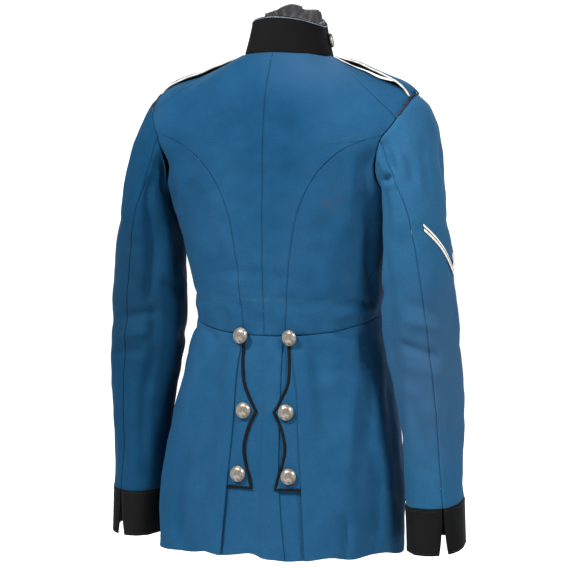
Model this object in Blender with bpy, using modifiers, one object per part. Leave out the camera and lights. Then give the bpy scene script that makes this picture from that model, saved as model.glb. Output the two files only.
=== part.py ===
"""Military tunic of light blue wool, filled out as worn and hollow.

The cloth is a set of walls cut from smooth rings. Tables are in millimetres and degrees;
an angle is a plan angle from the centre back, positive towards the wearer's left (+X).
The origin is the centre of the neck opening at the neck seam, +Z up, front towards -Y.
"""
import math

import bmesh
import bpy
import numpy as np
from mathutils import Vector

MILLIMETRE = 0.001
SEAM_GAP = 0.36
WAIST_GAP = 0.7
BODICE_WALL = 2.2
SKIRT_WALL = 1.8
LAYER = SKIRT_WALL + 0.4
SLEEVE_WALL = 1.8
BOTH_SIDES = (("left", 1), ("right", -1))

# Body rings: half width, back and front depth, height at back, side and front, squareness, sway
BODICE_RINGS = np.array([
    (61, 66, 62, 6, 0, -6, 2.2, 0),
    (122, 92, 88, -44, -26, -53, 2.8, 0),
    (186, 104, 104, -107, -54, -103, 4.0, 0),
    (175, 107, 117, -158, -150, -156, 3.7, 0),
    (160, 108, 121, -207, -205, -206, 3.1, 0),
    (139, 106, 117, -300, -296, -298, 2.5, 0),
    (130, 99, 111, -383, -362, -372, 2.3, 0),
])
SKIRT_RINGS = np.array([
    (130, 99, 111, -383, -362, -372, 2.3, 0),
    (142, 104, 115, -432, -418, -425, 2.35, 5),
    (158, 108, 119, -502, -495, -498, 2.4, 7),
    (169, 114, 122, -590, -587, -588, 2.5, 7),
    (167, 121, 125, -688, -687, -687, 2.6, 5),
])
WAIST_LEVEL = len(BODICE_RINGS) - 1
# How far the seams beside the centre back hang off the middle: height and distance
BACK_LEAN = np.array(((-700, -5.5), (-450, -5.5), (-350, -2.8), (-240, 0.0)))
HEM_LEVEL = len(SKIRT_RINGS) - 1

# Hem folds: plan angle, half width in degrees, depth at the hem
SKIRT_FOLDS = (
    (-46, 8, 5), (-66, 7, -6), (-88, 9, 7), (-113, 10, -6), (-138, 9, 5), (-160, 8, -3),
    (38, 6, -4), (62, 13, 15), (82, 7, -7), (99, 9, 7), (124, 10, -6), (149, 9, 4),
)

# Armhole: turn round the sleeve from the shoulder tip towards the back, plan angle, ring level
ARMHOLE = np.array([
    (0, 90, 1.97), (30, 78, 1.98), (50, 71, 2.02), (75, 62.5, 2.27), (100, 61.5, 2.75),
    (125, 64, 3.25), (150, 71, 3.70), (165, 79, 3.93), (180, 87, 4.0), (195, 96, 3.95),
    (215, 105, 3.70), (240, 111.5, 3.25), (265, 113, 2.75), (290, 111, 2.35),
    (315, 105, 2.10), (335, 98, 2.0),
])
SHOULDER_SEAM_TURN = 53
SIDE_BACK_SEAM_TURN = 70
UNDERARM_TURN = 180

# Seam lines: distance from the centre line, height
SIDE_BACK_SEAM = ((149, -110), (122, -121), (98, -138), (76, -162), (59, -193), (48, -225),
                  (42, -262), (38, -305), (34, -376))
SHOULDER_SEAM = ((83, 0), (71, 0.9), (67.5, 1.5))
SIDE_SEAM = ((84, 4.4), (78, 5.0), (71, 5.6), (68, 6.0))
PLEAT_EDGE = ((35, -380), (37, -400), (45, -463), (47, -505), (51, -552), (54, -588), (61.5, -682))
VENT_EDGE = ((25, -383), (21, -470), (21, -560), (25, -620), (33, -682))
FLAP_UPPER_EDGE = ((31, -386), (31, -400), (32, -420), (30, -447), (21, -469), (11, -487))
FLAP_LOWER_EDGE = ((11, -487), (22, -510), (28, -536), (25, -558), (19, -578), (16, -594))
FLAP_UNDER_PLEAT = 7
PLEAT_FLAT, PLEAT_SLOPE = 6.5, 9
PLEAT_SHARES = np.array((0, 3, 6, 8.5, 11.5, 15, 20)) / 150
CENTRE_UNDER_PLEAT = 13
VENT_UNDERLAP = -3
FRONT_LAP = 18
VENT_SLOPE_START, VENT_SLOPE = 12, 8
LAP_START = 1.6
LAP_COLUMNS = (-1, -0.5, 0, 0.5, 1)
SIDE_BACK_LEVELS = (2.205, 2.23, 2.28, 2.38, 2.56, 2.80, 3.12, 3.5, 3.8, 3.95, 4.0,
                    4.4, 4.8, 5.2, 5.6, 6.0)
UNDERARM_ROW = SIDE_BACK_LEVELS.index(4.0)
PLACE_SCALE = np.array((1.6, 60.0))
PIPING_WIDTH = 4.2
PIPING_CROWN = 0.1

# Collar and lining rings, read like the body rings
COLLAR_WALL = 2.6
LINING_WALL = 1.4
COLLAR_FRONT_GAP = 0.8
LINING_RISE, LINING_RISE_ANGLE, LINING_RISE_WIDTH = 4, 135, 45
COLLAR_RINGS = np.array([
    (60.4, 65.4, 61.4, 6.5, 0.5, -5.4, 2.2, 0),
    (55.5, 59.5, 57.0, 32, 21, 24, 2.15, 0),
    (51.5, 54.5, 54.0, 56, 42, 54, 2.1, 0),
])
LINING_RINGS = np.array([
    (56.2, 61.2, 56.6, 9, 4, 0, 2.2, 0),
    (51.2, 55.2, 51.6, 33, 23, 32, 2.15, 0),
    (47.2, 50.2, 49.4, 55, 45, 67, 2.1, 0),
])

# Sleeve rings: height, centre across and along, reach outward, inward and front to back
SLEEVE_POWER = 2.25
SLEEVE_RINGS = np.array([
    (-225, 190, 33, 46, 32, 64), (-260, 194, 31, 49, 38, 63), (-320, 198, 29, 51, 46, 60),
    (-390, 203, 25, 53, 49, 57), (-480, 210, 20, 50, 37, 53), (-570, 213.5, 15, 45, 33, 50),
    (-632, 217, 14, 43, 34, 48), (-690, 219, 13, 43, 34, 47),
])
CAP_DIRECTION = np.array((0.985, 0.0, -0.17))
CAP_FULLNESS, CAP_FALL = 0.42, 0.9
ARMHOLE_GAP = 1.1
BACK_ARM_SEAM = 68
BACK_ARM_SEAM_TURNS = np.array(((0, 78), (0.3, 90), (0.6, 92), (1.0, 86), (1.3, 77), (2.0, 68)))
FRONT_ARM_SEAM = 250
RIGHT_SEAM_TURN = -14
CUFF_TOP = -617
CUFF_FRONT_RISE = 14
CUFF_HEIGHT = 65
CUFF_SLIT = 1.4
CUFF_LIFT = 1.2
CUFF_WALL = 2.4
CHEVRON_ARMS = ((55, -224), (-12, -287), (-79, -224))
CHEVRON_WIDTH = 10
CHEVRON_WALL = 1.0
CHEVRON_LIFT = 2.0

# Shoulder straps over the left shoulder
STRAP_INNER, STRAP_OUTER = 68, 183
STRAP_CENTRE_INNER, STRAP_CENTRE_OUTER = -12, 3
STRAP_HALF_INNER, STRAP_HALF_OUTER = 17, 21
STRAP_WALL = 2.4
STRAP_LIFT = 3.2
STRAP_ARCH = 4.0
STRAP_PIPING = 2.4
STRAP_ROUND_SHARE, STRAP_END_WIDTH = 0.12, 0.35
STRAP_PIPING_GAP = 0.3

# Buttons and discs, by diameter
COAT_BUTTON, COAT_BUTTON_HEIGHT = 22.0, 7.0
COLLAR_DISC, COLLAR_DISC_HEIGHT = 20.5, 3.2
COLLAR_DISC_ANGLE = 106
COLLAR_DISC_CLEARANCE = 0.6
BUTTON_PROFILE = ((0, 1), (0.5, 0.86), (0.85, 0.5), (1, 0.34), (1, 0), (0, 0))
BUTTON_SIDES = 12
BUTTON_GAP = 0.3
FRONT_BUTTONS = 8
FRONT_BUTTON_TOP, FRONT_BUTTON_BOTTOM = -30, -361
BACK_BUTTONS = ((35.5, -384), (31, -486), (37, -574))
WAIST_BUTTON_LAYERS = 1.1


def curve_through(points, count):
    """Return count points on a smooth curve through the given rows, evenly spaced."""
    rows = np.array(points, dtype=float)
    dense = np.array([read_table(rows, s) for s in np.linspace(0, len(rows) - 1, 40 * len(rows))])
    steps = np.linalg.norm(np.diff(dense, axis=0), axis=1)
    along = np.concatenate(([0], np.cumsum(steps)))
    wanted = np.linspace(0, along[-1], count)
    return np.column_stack([np.interp(wanted, along, column) for column in dense.T])


def read_table(table, level):
    """Read a table of rows at a level between its rows, with smooth slopes."""
    last = len(table) - 1
    level = min(max(level, 0.0), float(last))
    row = min(int(level), last - 1)
    u = level - row
    start, end = table[row], table[row + 1]
    slope_in = (end - table[row - 1]) / 2 if row > 0 else end - start
    slope_out = (table[row + 2] - start) / 2 if row + 2 <= last else end - start
    return ((2 * u**3 - 3 * u**2 + 1) * start + (u**3 - 2 * u**2 + u) * slope_in
            + (3 * u**2 - 2 * u**3) * end + (u**3 - u**2) * slope_out)


def smooth_step(value):
    value = min(max(value, 0.0), 1.0)
    return value * value * (3 - 2 * value)


def ring_point(rings, angle, level):
    """Return the point of a body surface at a plan angle and ring level."""
    half_width, back, front, z_back, z_side, z_front, power, sway = read_table(rings, level)
    across, along = math.sin(math.radians(angle)), math.cos(math.radians(angle))
    depth, z_end = (back, z_back) if along >= 0 else (front, z_front)
    reach = (abs(across / half_width)**power + abs(along / depth)**power)**(-1 / power)
    lean = (abs(reach * along) / depth)**1.5
    if rings is SKIRT_RINGS:
        reach += hem_fold(angle, level)
    return np.array((sway + reach * across, reach * along, z_side + (z_end - z_side) * lean))


def hem_fold(angle, level):
    """Return how far the hem folds push the skirt out at an angle and level."""
    fall = max(level / HEM_LEVEL, 0.0)**1.6
    turn = (angle + 180) % 360 - 180
    return sum(depth * fall * math.exp(-((turn - place) / width)**2)
               for place, width, depth in SKIRT_FOLDS)


def surface_normal(surface, u, v, du=0.4, dv=0.01):
    """Return the unit normal of surface(u, v) that points away from the object's axis."""
    along_u = surface(u + du, v) - surface(u - du, v)
    along_v = surface(u, v + dv) - surface(u, v - dv)
    normal = np.cross(along_u, along_v)
    return normal / np.linalg.norm(normal)


def back_lean(height):
    """Return how far the back's seams hang to the wearer's right at a height."""
    return np.interp(height, *BACK_LEAN.T)


def locate(rings, across, height):
    """Return the plan angle and ring level of a back point given by distance and height."""
    across = across + back_lean(height)
    low, high = 0.0, float(len(rings) - 1)
    for _ in range(30):
        level = (low + high) / 2
        half_width, back, *_, power, sway = read_table(rings, level)
        share = min(abs(across - sway) / half_width, 0.999)
        angle = math.degrees(math.atan2(share * half_width, back * (1 - share**power)**(1 / power)))
        angle *= 1 if across >= sway else -1
        if ring_point(rings, angle, level)[2] > height:
            low = level
        else:
            high = level
    return np.array((angle, level))


def armhole(turn):
    """Return the plan angle and ring level of the armhole edge at a turn round the sleeve."""
    turns = np.concatenate((ARMHOLE[:, 0] - 360, ARMHOLE[:, 0], ARMHOLE[:, 0] + 360))
    places = np.tile(ARMHOLE[:, 1:], (3, 1))
    row = int(np.searchsorted(turns, turn, side="right")) - 1
    u = (turn - turns[row]) / (turns[row + 1] - turns[row])
    window = places[row - 1:row + 3]
    return read_table(window, 1 + u)


def pull_in(points, amount, axis):
    """Move the first and last lines of a grid of points towards their neighbours."""
    grid = points.copy() if axis == 0 else points.swapaxes(0, 1).copy()
    for edge, inner in ((0, 1), (-1, -2)):
        step = grid[inner] - grid[edge]
        length = np.linalg.norm(step, axis=1, keepdims=True)
        grid[edge] += step / np.maximum(length, 1e-9) * np.minimum(amount, length * 0.4)
    return grid if axis == 0 else grid.swapaxes(0, 1)


def panel_points(surface, places, lift=None):
    """Return the outer points and normals of a panel given by a grid of surface places."""
    rows, columns = places.shape[:2]
    points = np.empty((rows, columns, 3))
    normals = np.empty((rows, columns, 3))
    for i in range(rows):
        for j in range(columns):
            u, v = places[i, j]
            normals[i, j] = surface_normal(surface, u, v)
            raised = lift(u, v) if callable(lift) else (lift or 0.0)
            points[i, j] = surface(u, v) + normals[i, j] * raised
    return points, normals


def between(edge_a, edge_b, columns):
    """Return a grid of places between two edges that have the same number of rows."""
    shares = np.linspace(0, 1, columns)[None, :, None]
    return edge_a[:, None, :] * (1 - shares) + edge_b[:, None, :] * shares


def front_grid(outer, levels, surface, shares):
    """Return a front's places from its outer edge, with columns set at the front lap."""
    rows = []
    for (angle, level), front_level in zip(outer, levels):
        lap = front_angle(surface, front_level) - 180
        start = 180 - LAP_START * lap
        row = [(angle + (start - angle) * share, level + (front_level - level) * share)
               for share in shares]
        row += [(180 + lap * share, front_level) for share in LAP_COLUMNS]
        rows.append(row)
    return np.array(rows)


def make_material(name, colour, roughness, metallic=0.0):
    material = bpy.data.materials.new(name)
    material.use_nodes = True
    shader = material.node_tree.nodes["Principled BSDF"]
    shader.inputs["Base Color"].default_value = (*colour, 1)
    shader.inputs["Roughness"].default_value = roughness
    shader.inputs["Metallic"].default_value = metallic
    material.diffuse_color = (*colour, 1)
    return material


def add_object(name, mesh, material, collection):
    thing = bpy.data.objects.new(name, mesh)
    if not mesh.materials:
        mesh.materials.append(material)
    mesh.shade_smooth()
    mesh.set_sharp_from_angle(angle=math.radians(40))
    collection.objects.link(thing)
    return thing


def make_wall(name, outer, normals, thickness, material, collection, closed=False):
    """Make one closed body from a grid of outer points and the wall's thickness."""
    inner = outer - normals * thickness
    rows, columns = outer.shape[:2]
    bm = bmesh.new()
    skins = []
    for skin in (outer, inner):
        skins.append([[bm.verts.new(Vector(point) * MILLIMETRE) for point in row] for row in skin])
    span = columns if closed else columns - 1
    for skin in skins:
        for i in range(rows - 1):
            for j in range(span):
                k = (j + 1) % columns
                bm.faces.new((skin[i][j], skin[i][k], skin[i + 1][k], skin[i + 1][j]))
    for i in (0, rows - 1):
        for j in range(span):
            k = (j + 1) % columns
            bm.faces.new((skins[0][i][j], skins[0][i][k], skins[1][i][k], skins[1][i][j]))
    if not closed:
        for j in (0, columns - 1):
            for i in range(rows - 1):
                bm.faces.new((skins[0][i][j], skins[0][i + 1][j], skins[1][i + 1][j], skins[1][i][j]))
    bmesh.ops.recalc_face_normals(bm, faces=bm.faces)
    mesh = bpy.data.meshes.new(name)
    bm.to_mesh(mesh)
    bm.free()
    return add_object(name, mesh, material, collection)


def bodice(angle, level):
    return ring_point(BODICE_RINGS, angle, level)


def skirt(angle, level):
    return ring_point(SKIRT_RINGS, angle, level)


def side_back_seam():
    """Return the side back seam from the armhole to the waist as places on the bodice."""
    rows = [armhole(SIDE_BACK_SEAM_TURN)]
    rows += [locate(BODICE_RINGS, across, height) for across, height in SIDE_BACK_SEAM]
    rows[-1][1] = WAIST_LEVEL
    return curve_through(rows, 80)


def angle_at(edge, levels):
    """Return places on an edge at the given levels."""
    order = np.argsort(edge[:, 1], kind="stable")
    return np.column_stack((np.interp(levels, edge[order, 1], edge[order, 0]), levels))


def mirror_places(places, sign):
    return places * np.array((sign, 1.0))


def add_bodice(wool, collection):
    """Add the back, side back and front panels of both sides."""
    princess = angle_at(side_back_seam(), np.array(SIDE_BACK_LEVELS))
    below = UNDERARM_ROW
    shoulder = curve_by_length(curve_through([*SHOULDER_SEAM, armhole(SHOULDER_SEAM_TURN)], 30), 5)
    arm_back = armhole_line(SHOULDER_SEAM_TURN, SIDE_BACK_SEAM_TURN, 4)
    arm_side = armhole_line(SIDE_BACK_SEAM_TURN, UNDERARM_TURN, 60)
    arm_front = armhole_line(SHOULDER_SEAM_TURN, -UNDERARM_TURN, 14)
    side = angle_at(curve_through([armhole(UNDERARM_TURN), *SIDE_SEAM], 60), princess[below:, 1])
    back_edge = np.vstack((shoulder, arm_back[1:], princess[1:]))
    back_centre = np.column_stack((np.zeros(len(back_edge)), back_edge[:, 1]))
    side_outer = np.vstack((angle_at(arm_side, princess[1:below, 1]), side))
    front_outer = np.vstack((shoulder, arm_front[1:], side[1:]))
    front_levels = np.concatenate((np.linspace(0, 1.2, 5), np.linspace(1.2, 4.0, 14)[1:],
                                   side[1:, 1]))
    front_places = front_grid(front_outer, front_levels, bodice, np.linspace(0, 1, 9))
    for name, sign in BOTH_SIDES:
        add_panel(f"back_{name}", bodice, between(back_centre, back_edge, 6), sign,
                  BODICE_WALL, wool, collection)
        add_panel(f"side_back_{name}", bodice, between(princess[1:], side_outer, 6), sign,
                  BODICE_WALL, wool, collection)
        add_panel(f"front_{name}", bodice, front_places, sign,
                  BODICE_WALL, wool, collection, front_lift(bodice) if sign > 0 else None)


def armhole_line(start, end, count):
    return np.array([armhole(turn) for turn in np.linspace(start, end, count)])


def curve_by_length(points, count):
    """Return count places along a dense line of places, evenly spaced on the cloth."""
    steps = np.linalg.norm(np.diff(points * PLACE_SCALE, axis=0), axis=1)
    along = np.concatenate(([0], np.cumsum(steps)))
    wanted = np.linspace(0, along[-1], count)
    return np.column_stack([np.interp(wanted, along, column) for column in points.T])


def front_angle(surface, level):
    """Return the plan angle of a front edge, past the centre front by the lap."""
    depth = -surface(180, level)[1]
    return 180 + math.degrees(math.atan2(FRONT_LAP, depth))


def front_lift(surface, layer=BODICE_WALL + 0.4):
    """Return how far the left front lies out where it laps the right front."""
    def lift(angle, level):
        lap = front_angle(surface, level) - 180
        return layer * smooth_step((angle - (180 - LAP_START * lap)) / (0.5 * lap))
    return lift


def add_panel(name, surface, places, sign, thickness, material, collection, lift=None):
    """Add one sewn panel of a side, kept clear of its neighbours by half the seam gap."""
    points, normals = panel_points(surface, mirror_places(places, sign), lift)
    points = pull_in(pull_in(points, SEAM_GAP / 2, 0), SEAM_GAP / 2, 1)
    return make_wall(name, points, normals, thickness, material, collection)


def add_collar(cloth, lining_cloth, collection):
    """Add the stand collar, open at the front, and the lining that shows inside it."""
    edge = 180 - math.degrees(COLLAR_FRONT_GAP / BODICE_RINGS[0][2])
    angles = np.linspace(-edge, edge, 29)
    for name, rings, material, wall in (("collar", COLLAR_RINGS, cloth, COLLAR_WALL),
                                        ("collar_lining", LINING_RINGS, lining_cloth, LINING_WALL)):
        def surface(angle, level, rings=rings):
            point = ring_point(rings, angle, level)
            if rings is LINING_RINGS:
                turn = (angle - LINING_RISE_ANGLE) / LINING_RISE_WIDTH
                point[2] += LINING_RISE * level * math.exp(-turn**2)
            return point
        levels = np.linspace(0, len(rings) - 1, 4)
        places = np.array([[(angle, level) for angle in angles] for level in levels])
        points, normals = panel_points(surface, places)
        make_wall(name, points, -normals, wall, material, collection)


def side_edge(table, count):
    """Return a skirt edge given by distance and height as places, from waist to hem."""
    rows = np.array([locate(SKIRT_RINGS, across, height) for across, height in table])
    rows[0][1], rows[-1][1] = 0.0, HEM_LEVEL
    return angle_at(curve_through(rows, 60), np.linspace(0, HEM_LEVEL, count))


def moved_table(table, across, sign=1):
    return [(sign * x + across, height) for x, height in table]


def add_skirts(wool, collection):
    """Add the side skirts with their back pleats and the lapped centre skirts."""
    rows = 10
    for name, sign in BOTH_SIDES:
        layers = 2 if sign > 0 else 3
        pleat = side_edge(moved_table(PLEAT_EDGE, 0, sign), rows)
        shares = np.concatenate((PLEAT_SHARES, np.linspace(PLEAT_SHARES[-1], 1, 15)[1:]))
        edge = mirror_places(pleat, sign)
        places = mirror_places(front_grid(edge, edge[:, 1], skirt, shares), sign)
        points, normals = panel_points(skirt, places, pleat_lift(pleat, layers, sign))
        points = pull_in(points, WAIST_GAP, 0)
        make_wall(f"skirt_{name}", points, normals, SKIRT_WALL, wool, collection)
    vent = side_edge(moved_table(VENT_EDGE, 0, -1), rows)
    under = side_edge([(VENT_UNDERLAP, height) for _, height in VENT_EDGE], rows)
    for name, sign, edge in (("left", 1, vent), ("right", -1, under)):
        outer = side_edge(moved_table(PLEAT_EDGE, sign * CENTRE_UNDER_PLEAT, sign), rows)
        lift = vent_lift if sign > 0 else None
        points, normals = panel_points(skirt, between(edge, outer, 11), lift)
        points = pull_in(points, WAIST_GAP, 0)
        make_wall(f"skirt_back_{name}", points, normals, SKIRT_WALL, wool, collection)


def vent_lift(angle, level):
    """Lift the left centre skirt over the right one past the centre back."""
    point = skirt(angle, level)
    across = point[0] - back_lean(point[2])
    return LAYER * smooth_step((VENT_UNDERLAP + VENT_SLOPE_START - across) / VENT_SLOPE)


def pleat_lift(pleat, layers, sign):
    """Lift a side skirt over the flap at its pleat edge, and over the other front."""
    lap_lift = front_lift(skirt, LAYER) if sign > 0 else None

    def lift(angle, level):
        start = np.interp(level, pleat[:, 1], pleat[:, 0])
        raised = LAYER * layers * (1 - smooth_step((abs(angle - start) - PLEAT_FLAT) / PLEAT_SLOPE))
        return raised + (lap_lift(angle, level) if lap_lift else 0.0)
    return lift


def flap_outline():
    """Return the flap's inner outline from the waist to its lower corner."""
    upper = curve_through(FLAP_UPPER_EDGE, 9)
    lower = curve_through(FLAP_LOWER_EDGE, 10)
    return np.vstack((upper, lower[1:]))


def outline_inset(outline, distance):
    """Return the outline moved into the flap, away from the centre back."""
    step = np.gradient(outline, axis=0)
    normal = np.column_stack((-step[:, 1], step[:, 0]))
    normal /= np.linalg.norm(normal, axis=1, keepdims=True)
    normal[-1] = (1.0, 1.0)
    normal[0] = (1.0, -1.0)
    return outline + normal * distance


def add_flaps(wool, piping_cloth, collection):
    """Add the three pointed skirt flaps and their piping."""
    outline = flap_outline()
    inset = outline_inset(outline, PIPING_WIDTH + 0.3)
    heights, pleat_across = np.array(PLEAT_EDGE)[:, 1], np.array(PLEAT_EDGE)[:, 0]
    for name, sign in BOTH_SIDES:
        layers = 1 if sign > 0 else 2
        outer = np.array([(np.interp(-z, -heights, pleat_across) + FLAP_UNDER_PLEAT, z)
                          for _, z in inset])
        shares = np.linspace(0, 1, 5)
        places = np.array([[locate(SKIRT_RINGS, *(np.array((sign, 1)) * (a + (b - a) * share)))
                            for share in shares] for a, b in zip(inset, outer)])
        points, normals = panel_points(skirt, places, layers * LAYER)
        make_wall(f"flap_{name}", points, normals, SKIRT_WALL, wool, collection)
        bottom = [(x, outline[-1, 1]) for x in np.linspace(outline[-1, 0], outer[-1, 0], 5)[1:]]
        edge = np.vstack((outline, bottom))
        inner = np.vstack((outline_inset(outline, PIPING_WIDTH),
                           [(x, z + PIPING_WIDTH) for x, z in bottom]))
        middle = (edge + inner) / 2
        rows = [[locate(SKIRT_RINGS, sign * x, z) for x, z in line] for line in (edge, middle, inner)]
        places = np.array(rows).swapaxes(0, 1)
        points, normals = panel_points(skirt, places, layers * LAYER)
        points[:, 1] += normals[:, 1] * PIPING_CROWN
        make_wall(f"flap_piping_{name}", points, normals, SKIRT_WALL, piping_cloth, collection)


def sleeve_ring(turn, height):
    """Return the sleeve's point at a turn from its outer side towards the back, at a height."""
    level = np.interp(-height, -SLEEVE_RINGS[:, 0], np.arange(len(SLEEVE_RINGS)))
    _, across, along, outward, inward, depth = read_table(SLEEVE_RINGS, level)
    c, s = math.cos(math.radians(turn)), math.sin(math.radians(turn))
    width = outward if c >= 0 else inward
    reach = (abs(c / width)**SLEEVE_POWER + abs(s / depth)**SLEEVE_POWER)**(-1 / SLEEVE_POWER)
    return np.array((across + reach * c, along + reach * s, height))


def sleeve(turn, level):
    """Return a left sleeve point: levels 0 to 1 are the cap, 1 to 2 the arm down to the cuff."""
    if level > 1:
        top = SLEEVE_RINGS[0, 0]
        return sleeve_ring(turn, top + (cuff_top(turn) - top) * (level - 1))
    start = bodice(*armhole(turn))
    end = sleeve_ring(turn, SLEEVE_RINGS[0, 0])
    chord = np.linalg.norm(end - start)
    start = start + CAP_DIRECTION * ARMHOLE_GAP
    u = max(level, 0.0)
    bend = CAP_DIRECTION * chord * CAP_FULLNESS
    fall = np.array((0.0, 0.0, -1.0)) * chord * CAP_FALL
    return ((2 * u**3 - 3 * u**2 + 1) * start + (u**3 - 2 * u**2 + u) * bend
            + (3 * u**2 - 2 * u**3) * end + (u**3 - u**2) * fall)


def cuff_top(turn):
    return CUFF_TOP + CUFF_FRONT_RISE * (1 - math.sin(math.radians(turn))) / 2


def cuff(turn, level):
    """Return a left cuff point, level 0 at its top and 1 at its lower edge."""
    return sleeve_ring(turn, max(cuff_top(turn) - CUFF_HEIGHT * level, SLEEVE_RINGS[-1, 0]))


def sleeve_normal(surface, turn, level):
    normal = surface_normal(surface, turn, level if level > 0.02 else 0.02, 0.6, 0.02)
    return -normal


def to_side(points, sign):
    return points * np.array((sign, 1.0, 1.0))


def seam_shift(level, sign):
    """Return how far the right sleeve's back seam is turned towards its outer side."""
    return RIGHT_SEAM_TURN * smooth_step(level) if sign < 0 else 0.0


def back_arm_seam(level, sign):
    turn = float(np.interp(level, BACK_ARM_SEAM_TURNS[:, 0], BACK_ARM_SEAM_TURNS[:, 1]))
    return turn + seam_shift(level, sign)


def turned_panel(name, surface, edges, columns, levels, sign, lift, wall, material, collection):
    """Add a panel that goes round a sleeve between its two edges, given as turns at a level."""
    grid = [[(turn, level) for turn in np.linspace(*edges(level, sign), columns)] for level in levels]
    points = np.array([[surface(*place) for place in row] for row in grid])
    normals = np.array([[sleeve_normal(surface, *place) for place in row] for row in grid])
    points = points + normals * lift
    points = pull_in(points, SEAM_GAP / 2, 1)
    if len(levels) > 6:
        points[-1, :, 2] += SEAM_GAP
    return make_wall(name, to_side(points, sign), to_side(normals, sign), wall, material, collection)


def cuff_edges(level, sign):
    """Return the turns between which the cuff goes round, open at its back slit."""
    gap = CUFF_SLIT * (1 + 2 * level)
    slit = BACK_ARM_SEAM + seam_shift(1.0, sign)
    return slit + gap, slit + 360 - gap


def add_sleeves(wool, cuff_cloth, braid_cloth, collection):
    """Add the two piece sleeves, the slit cuffs and the chevron on the right sleeve."""
    cap_levels = (0, 0.14, 0.32, 0.5, 0.68, 0.85)
    levels = np.concatenate((cap_levels, np.linspace(1, 2, 9)))
    for name, sign in BOTH_SIDES:
        turned_panel(f"sleeve_top_{name}", sleeve,
                     lambda level, side: (FRONT_ARM_SEAM - 360, back_arm_seam(level, side)), 12,
                     levels, sign, 0, SLEEVE_WALL, wool, collection)
        turned_panel(f"sleeve_under_{name}", sleeve,
                     lambda level, side: (back_arm_seam(level, side), FRONT_ARM_SEAM), 11, levels, sign,
                     0, SLEEVE_WALL, wool, collection)
        turned_panel(f"cuff_{name}", cuff, cuff_edges, 25, (0, 0.5, 1), sign, CUFF_LIFT,
                     CUFF_WALL, cuff_cloth, collection)
    add_chevron(braid_cloth, collection)


def add_chevron(braid_cloth, collection):
    """Add the braid chevron, point down, on the outer side of the right sleeve."""
    line = [(turn, height) for turn, height in CHEVRON_ARMS]
    turns = np.interp(np.linspace(0, 2, 13), (0, 1, 2), [turn for turn, _ in line])
    heights = np.interp(np.linspace(0, 2, 13), (0, 1, 2), [height for _, height in line])
    edges = []
    for shift in (0, -CHEVRON_WIDTH):
        edges.append([sleeve_ring(turn, height + shift) for turn, height in zip(turns, heights)])
    points = np.array(edges).swapaxes(0, 1)
    centre = np.array([SLEEVE_RINGS[1, 1], SLEEVE_RINGS[1, 2], 0])
    outward = (points - centre) * np.array((1, 1, 0))
    outward /= np.linalg.norm(outward, axis=2, keepdims=True)
    points = points + outward * CHEVRON_LIFT
    make_wall("chevron", to_side(points, -1), to_side(outward, -1), CHEVRON_WALL, braid_cloth,
              collection)


def shoulder_place(across, along):
    """Return the bodice place above a plan position on the shoulder."""
    angle = math.degrees(math.atan2(across, along))
    low, high = 0.0, 2.2
    for _ in range(24):
        level = (low + high) / 2
        point = bodice(angle, level)
        if math.hypot(point[0], point[1]) < math.hypot(across, along):
            low = level
        else:
            high = level
    return angle, level


def strap_grid(shares, half_width, lift):
    """Return points and normals of the left strap over the shoulder."""
    points, normals = [], []
    for share in shares:
        across = STRAP_INNER + (STRAP_OUTER - STRAP_INNER) * share
        half = half_width(share)
        middle = STRAP_CENTRE_INNER + (STRAP_CENTRE_OUTER - STRAP_CENTRE_INNER) * share
        row = [shoulder_place(across, middle + half * side) for side in (-1, -0.5, 0, 0.5, 1)]
        top = np.array([bodice(*place) for place in row])
        normal = np.array([surface_normal(bodice, *place) for place in row])
        points.append(top + normal * (lift + STRAP_ARCH * math.sin(math.pi * share)))
        normals.append(normal)
    return np.array(points), np.array(normals)


def add_straps(wool, piping_cloth, collection):
    """Add the shoulder straps and the white piping round them."""
    def half_width(share):
        round_end = math.sqrt(max(1 - (1 - min(share / STRAP_ROUND_SHARE, 1))**2, STRAP_END_WIDTH**2))
        return (STRAP_HALF_INNER + (STRAP_HALF_OUTER - STRAP_HALF_INNER) * share) * round_end
    shares = np.concatenate((np.linspace(0, STRAP_ROUND_SHARE, 4), np.linspace(0.25, 1, 7)))
    points, normals = strap_grid(shares, half_width, STRAP_LIFT)
    for name, sign in BOTH_SIDES:
        make_wall(f"shoulder_strap_{name}", to_side(points, sign), to_side(normals, sign),
                  STRAP_WALL, wool, collection)
        rim = [*zip(points[::-1, 0], normals[::-1, 0])]
        rim += [*zip(points[0, 1:], normals[0, 1:])]
        rim += [*zip(points[1:, -1], normals[1:, -1])]
        edge = np.array([point for point, _ in rim])
        up = np.array([normal for _, normal in rim])
        along = np.gradient(edge, axis=0)
        out = np.cross(up, along)
        out /= np.linalg.norm(out, axis=1, keepdims=True)
        centre = points.mean(axis=(0, 1))
        flip = np.sign(np.sum(out * (edge - centre) * np.array((1, 1, 0)), axis=1, keepdims=True))
        out *= flip
        strip = np.stack((edge + out * STRAP_PIPING_GAP,
                          edge + out * (STRAP_PIPING_GAP + STRAP_PIPING)), axis=1)
        make_wall(f"strap_piping_{name}", to_side(strip, sign),
                  to_side(np.stack((up, up), axis=1), sign), STRAP_WALL, piping_cloth, collection)


def button_mesh(radius, height, material):
    """Return a domed button turned from a half profile, its flat back at the origin."""
    mesh = bpy.data.meshes.new("button_profile")
    points = [(x * radius * MILLIMETRE, 0, z * height * MILLIMETRE) for x, z in BUTTON_PROFILE]
    mesh.from_pydata(points, [(i, i + 1) for i in range(len(points) - 1)], [])
    mesh.materials.append(material)
    return mesh


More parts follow.
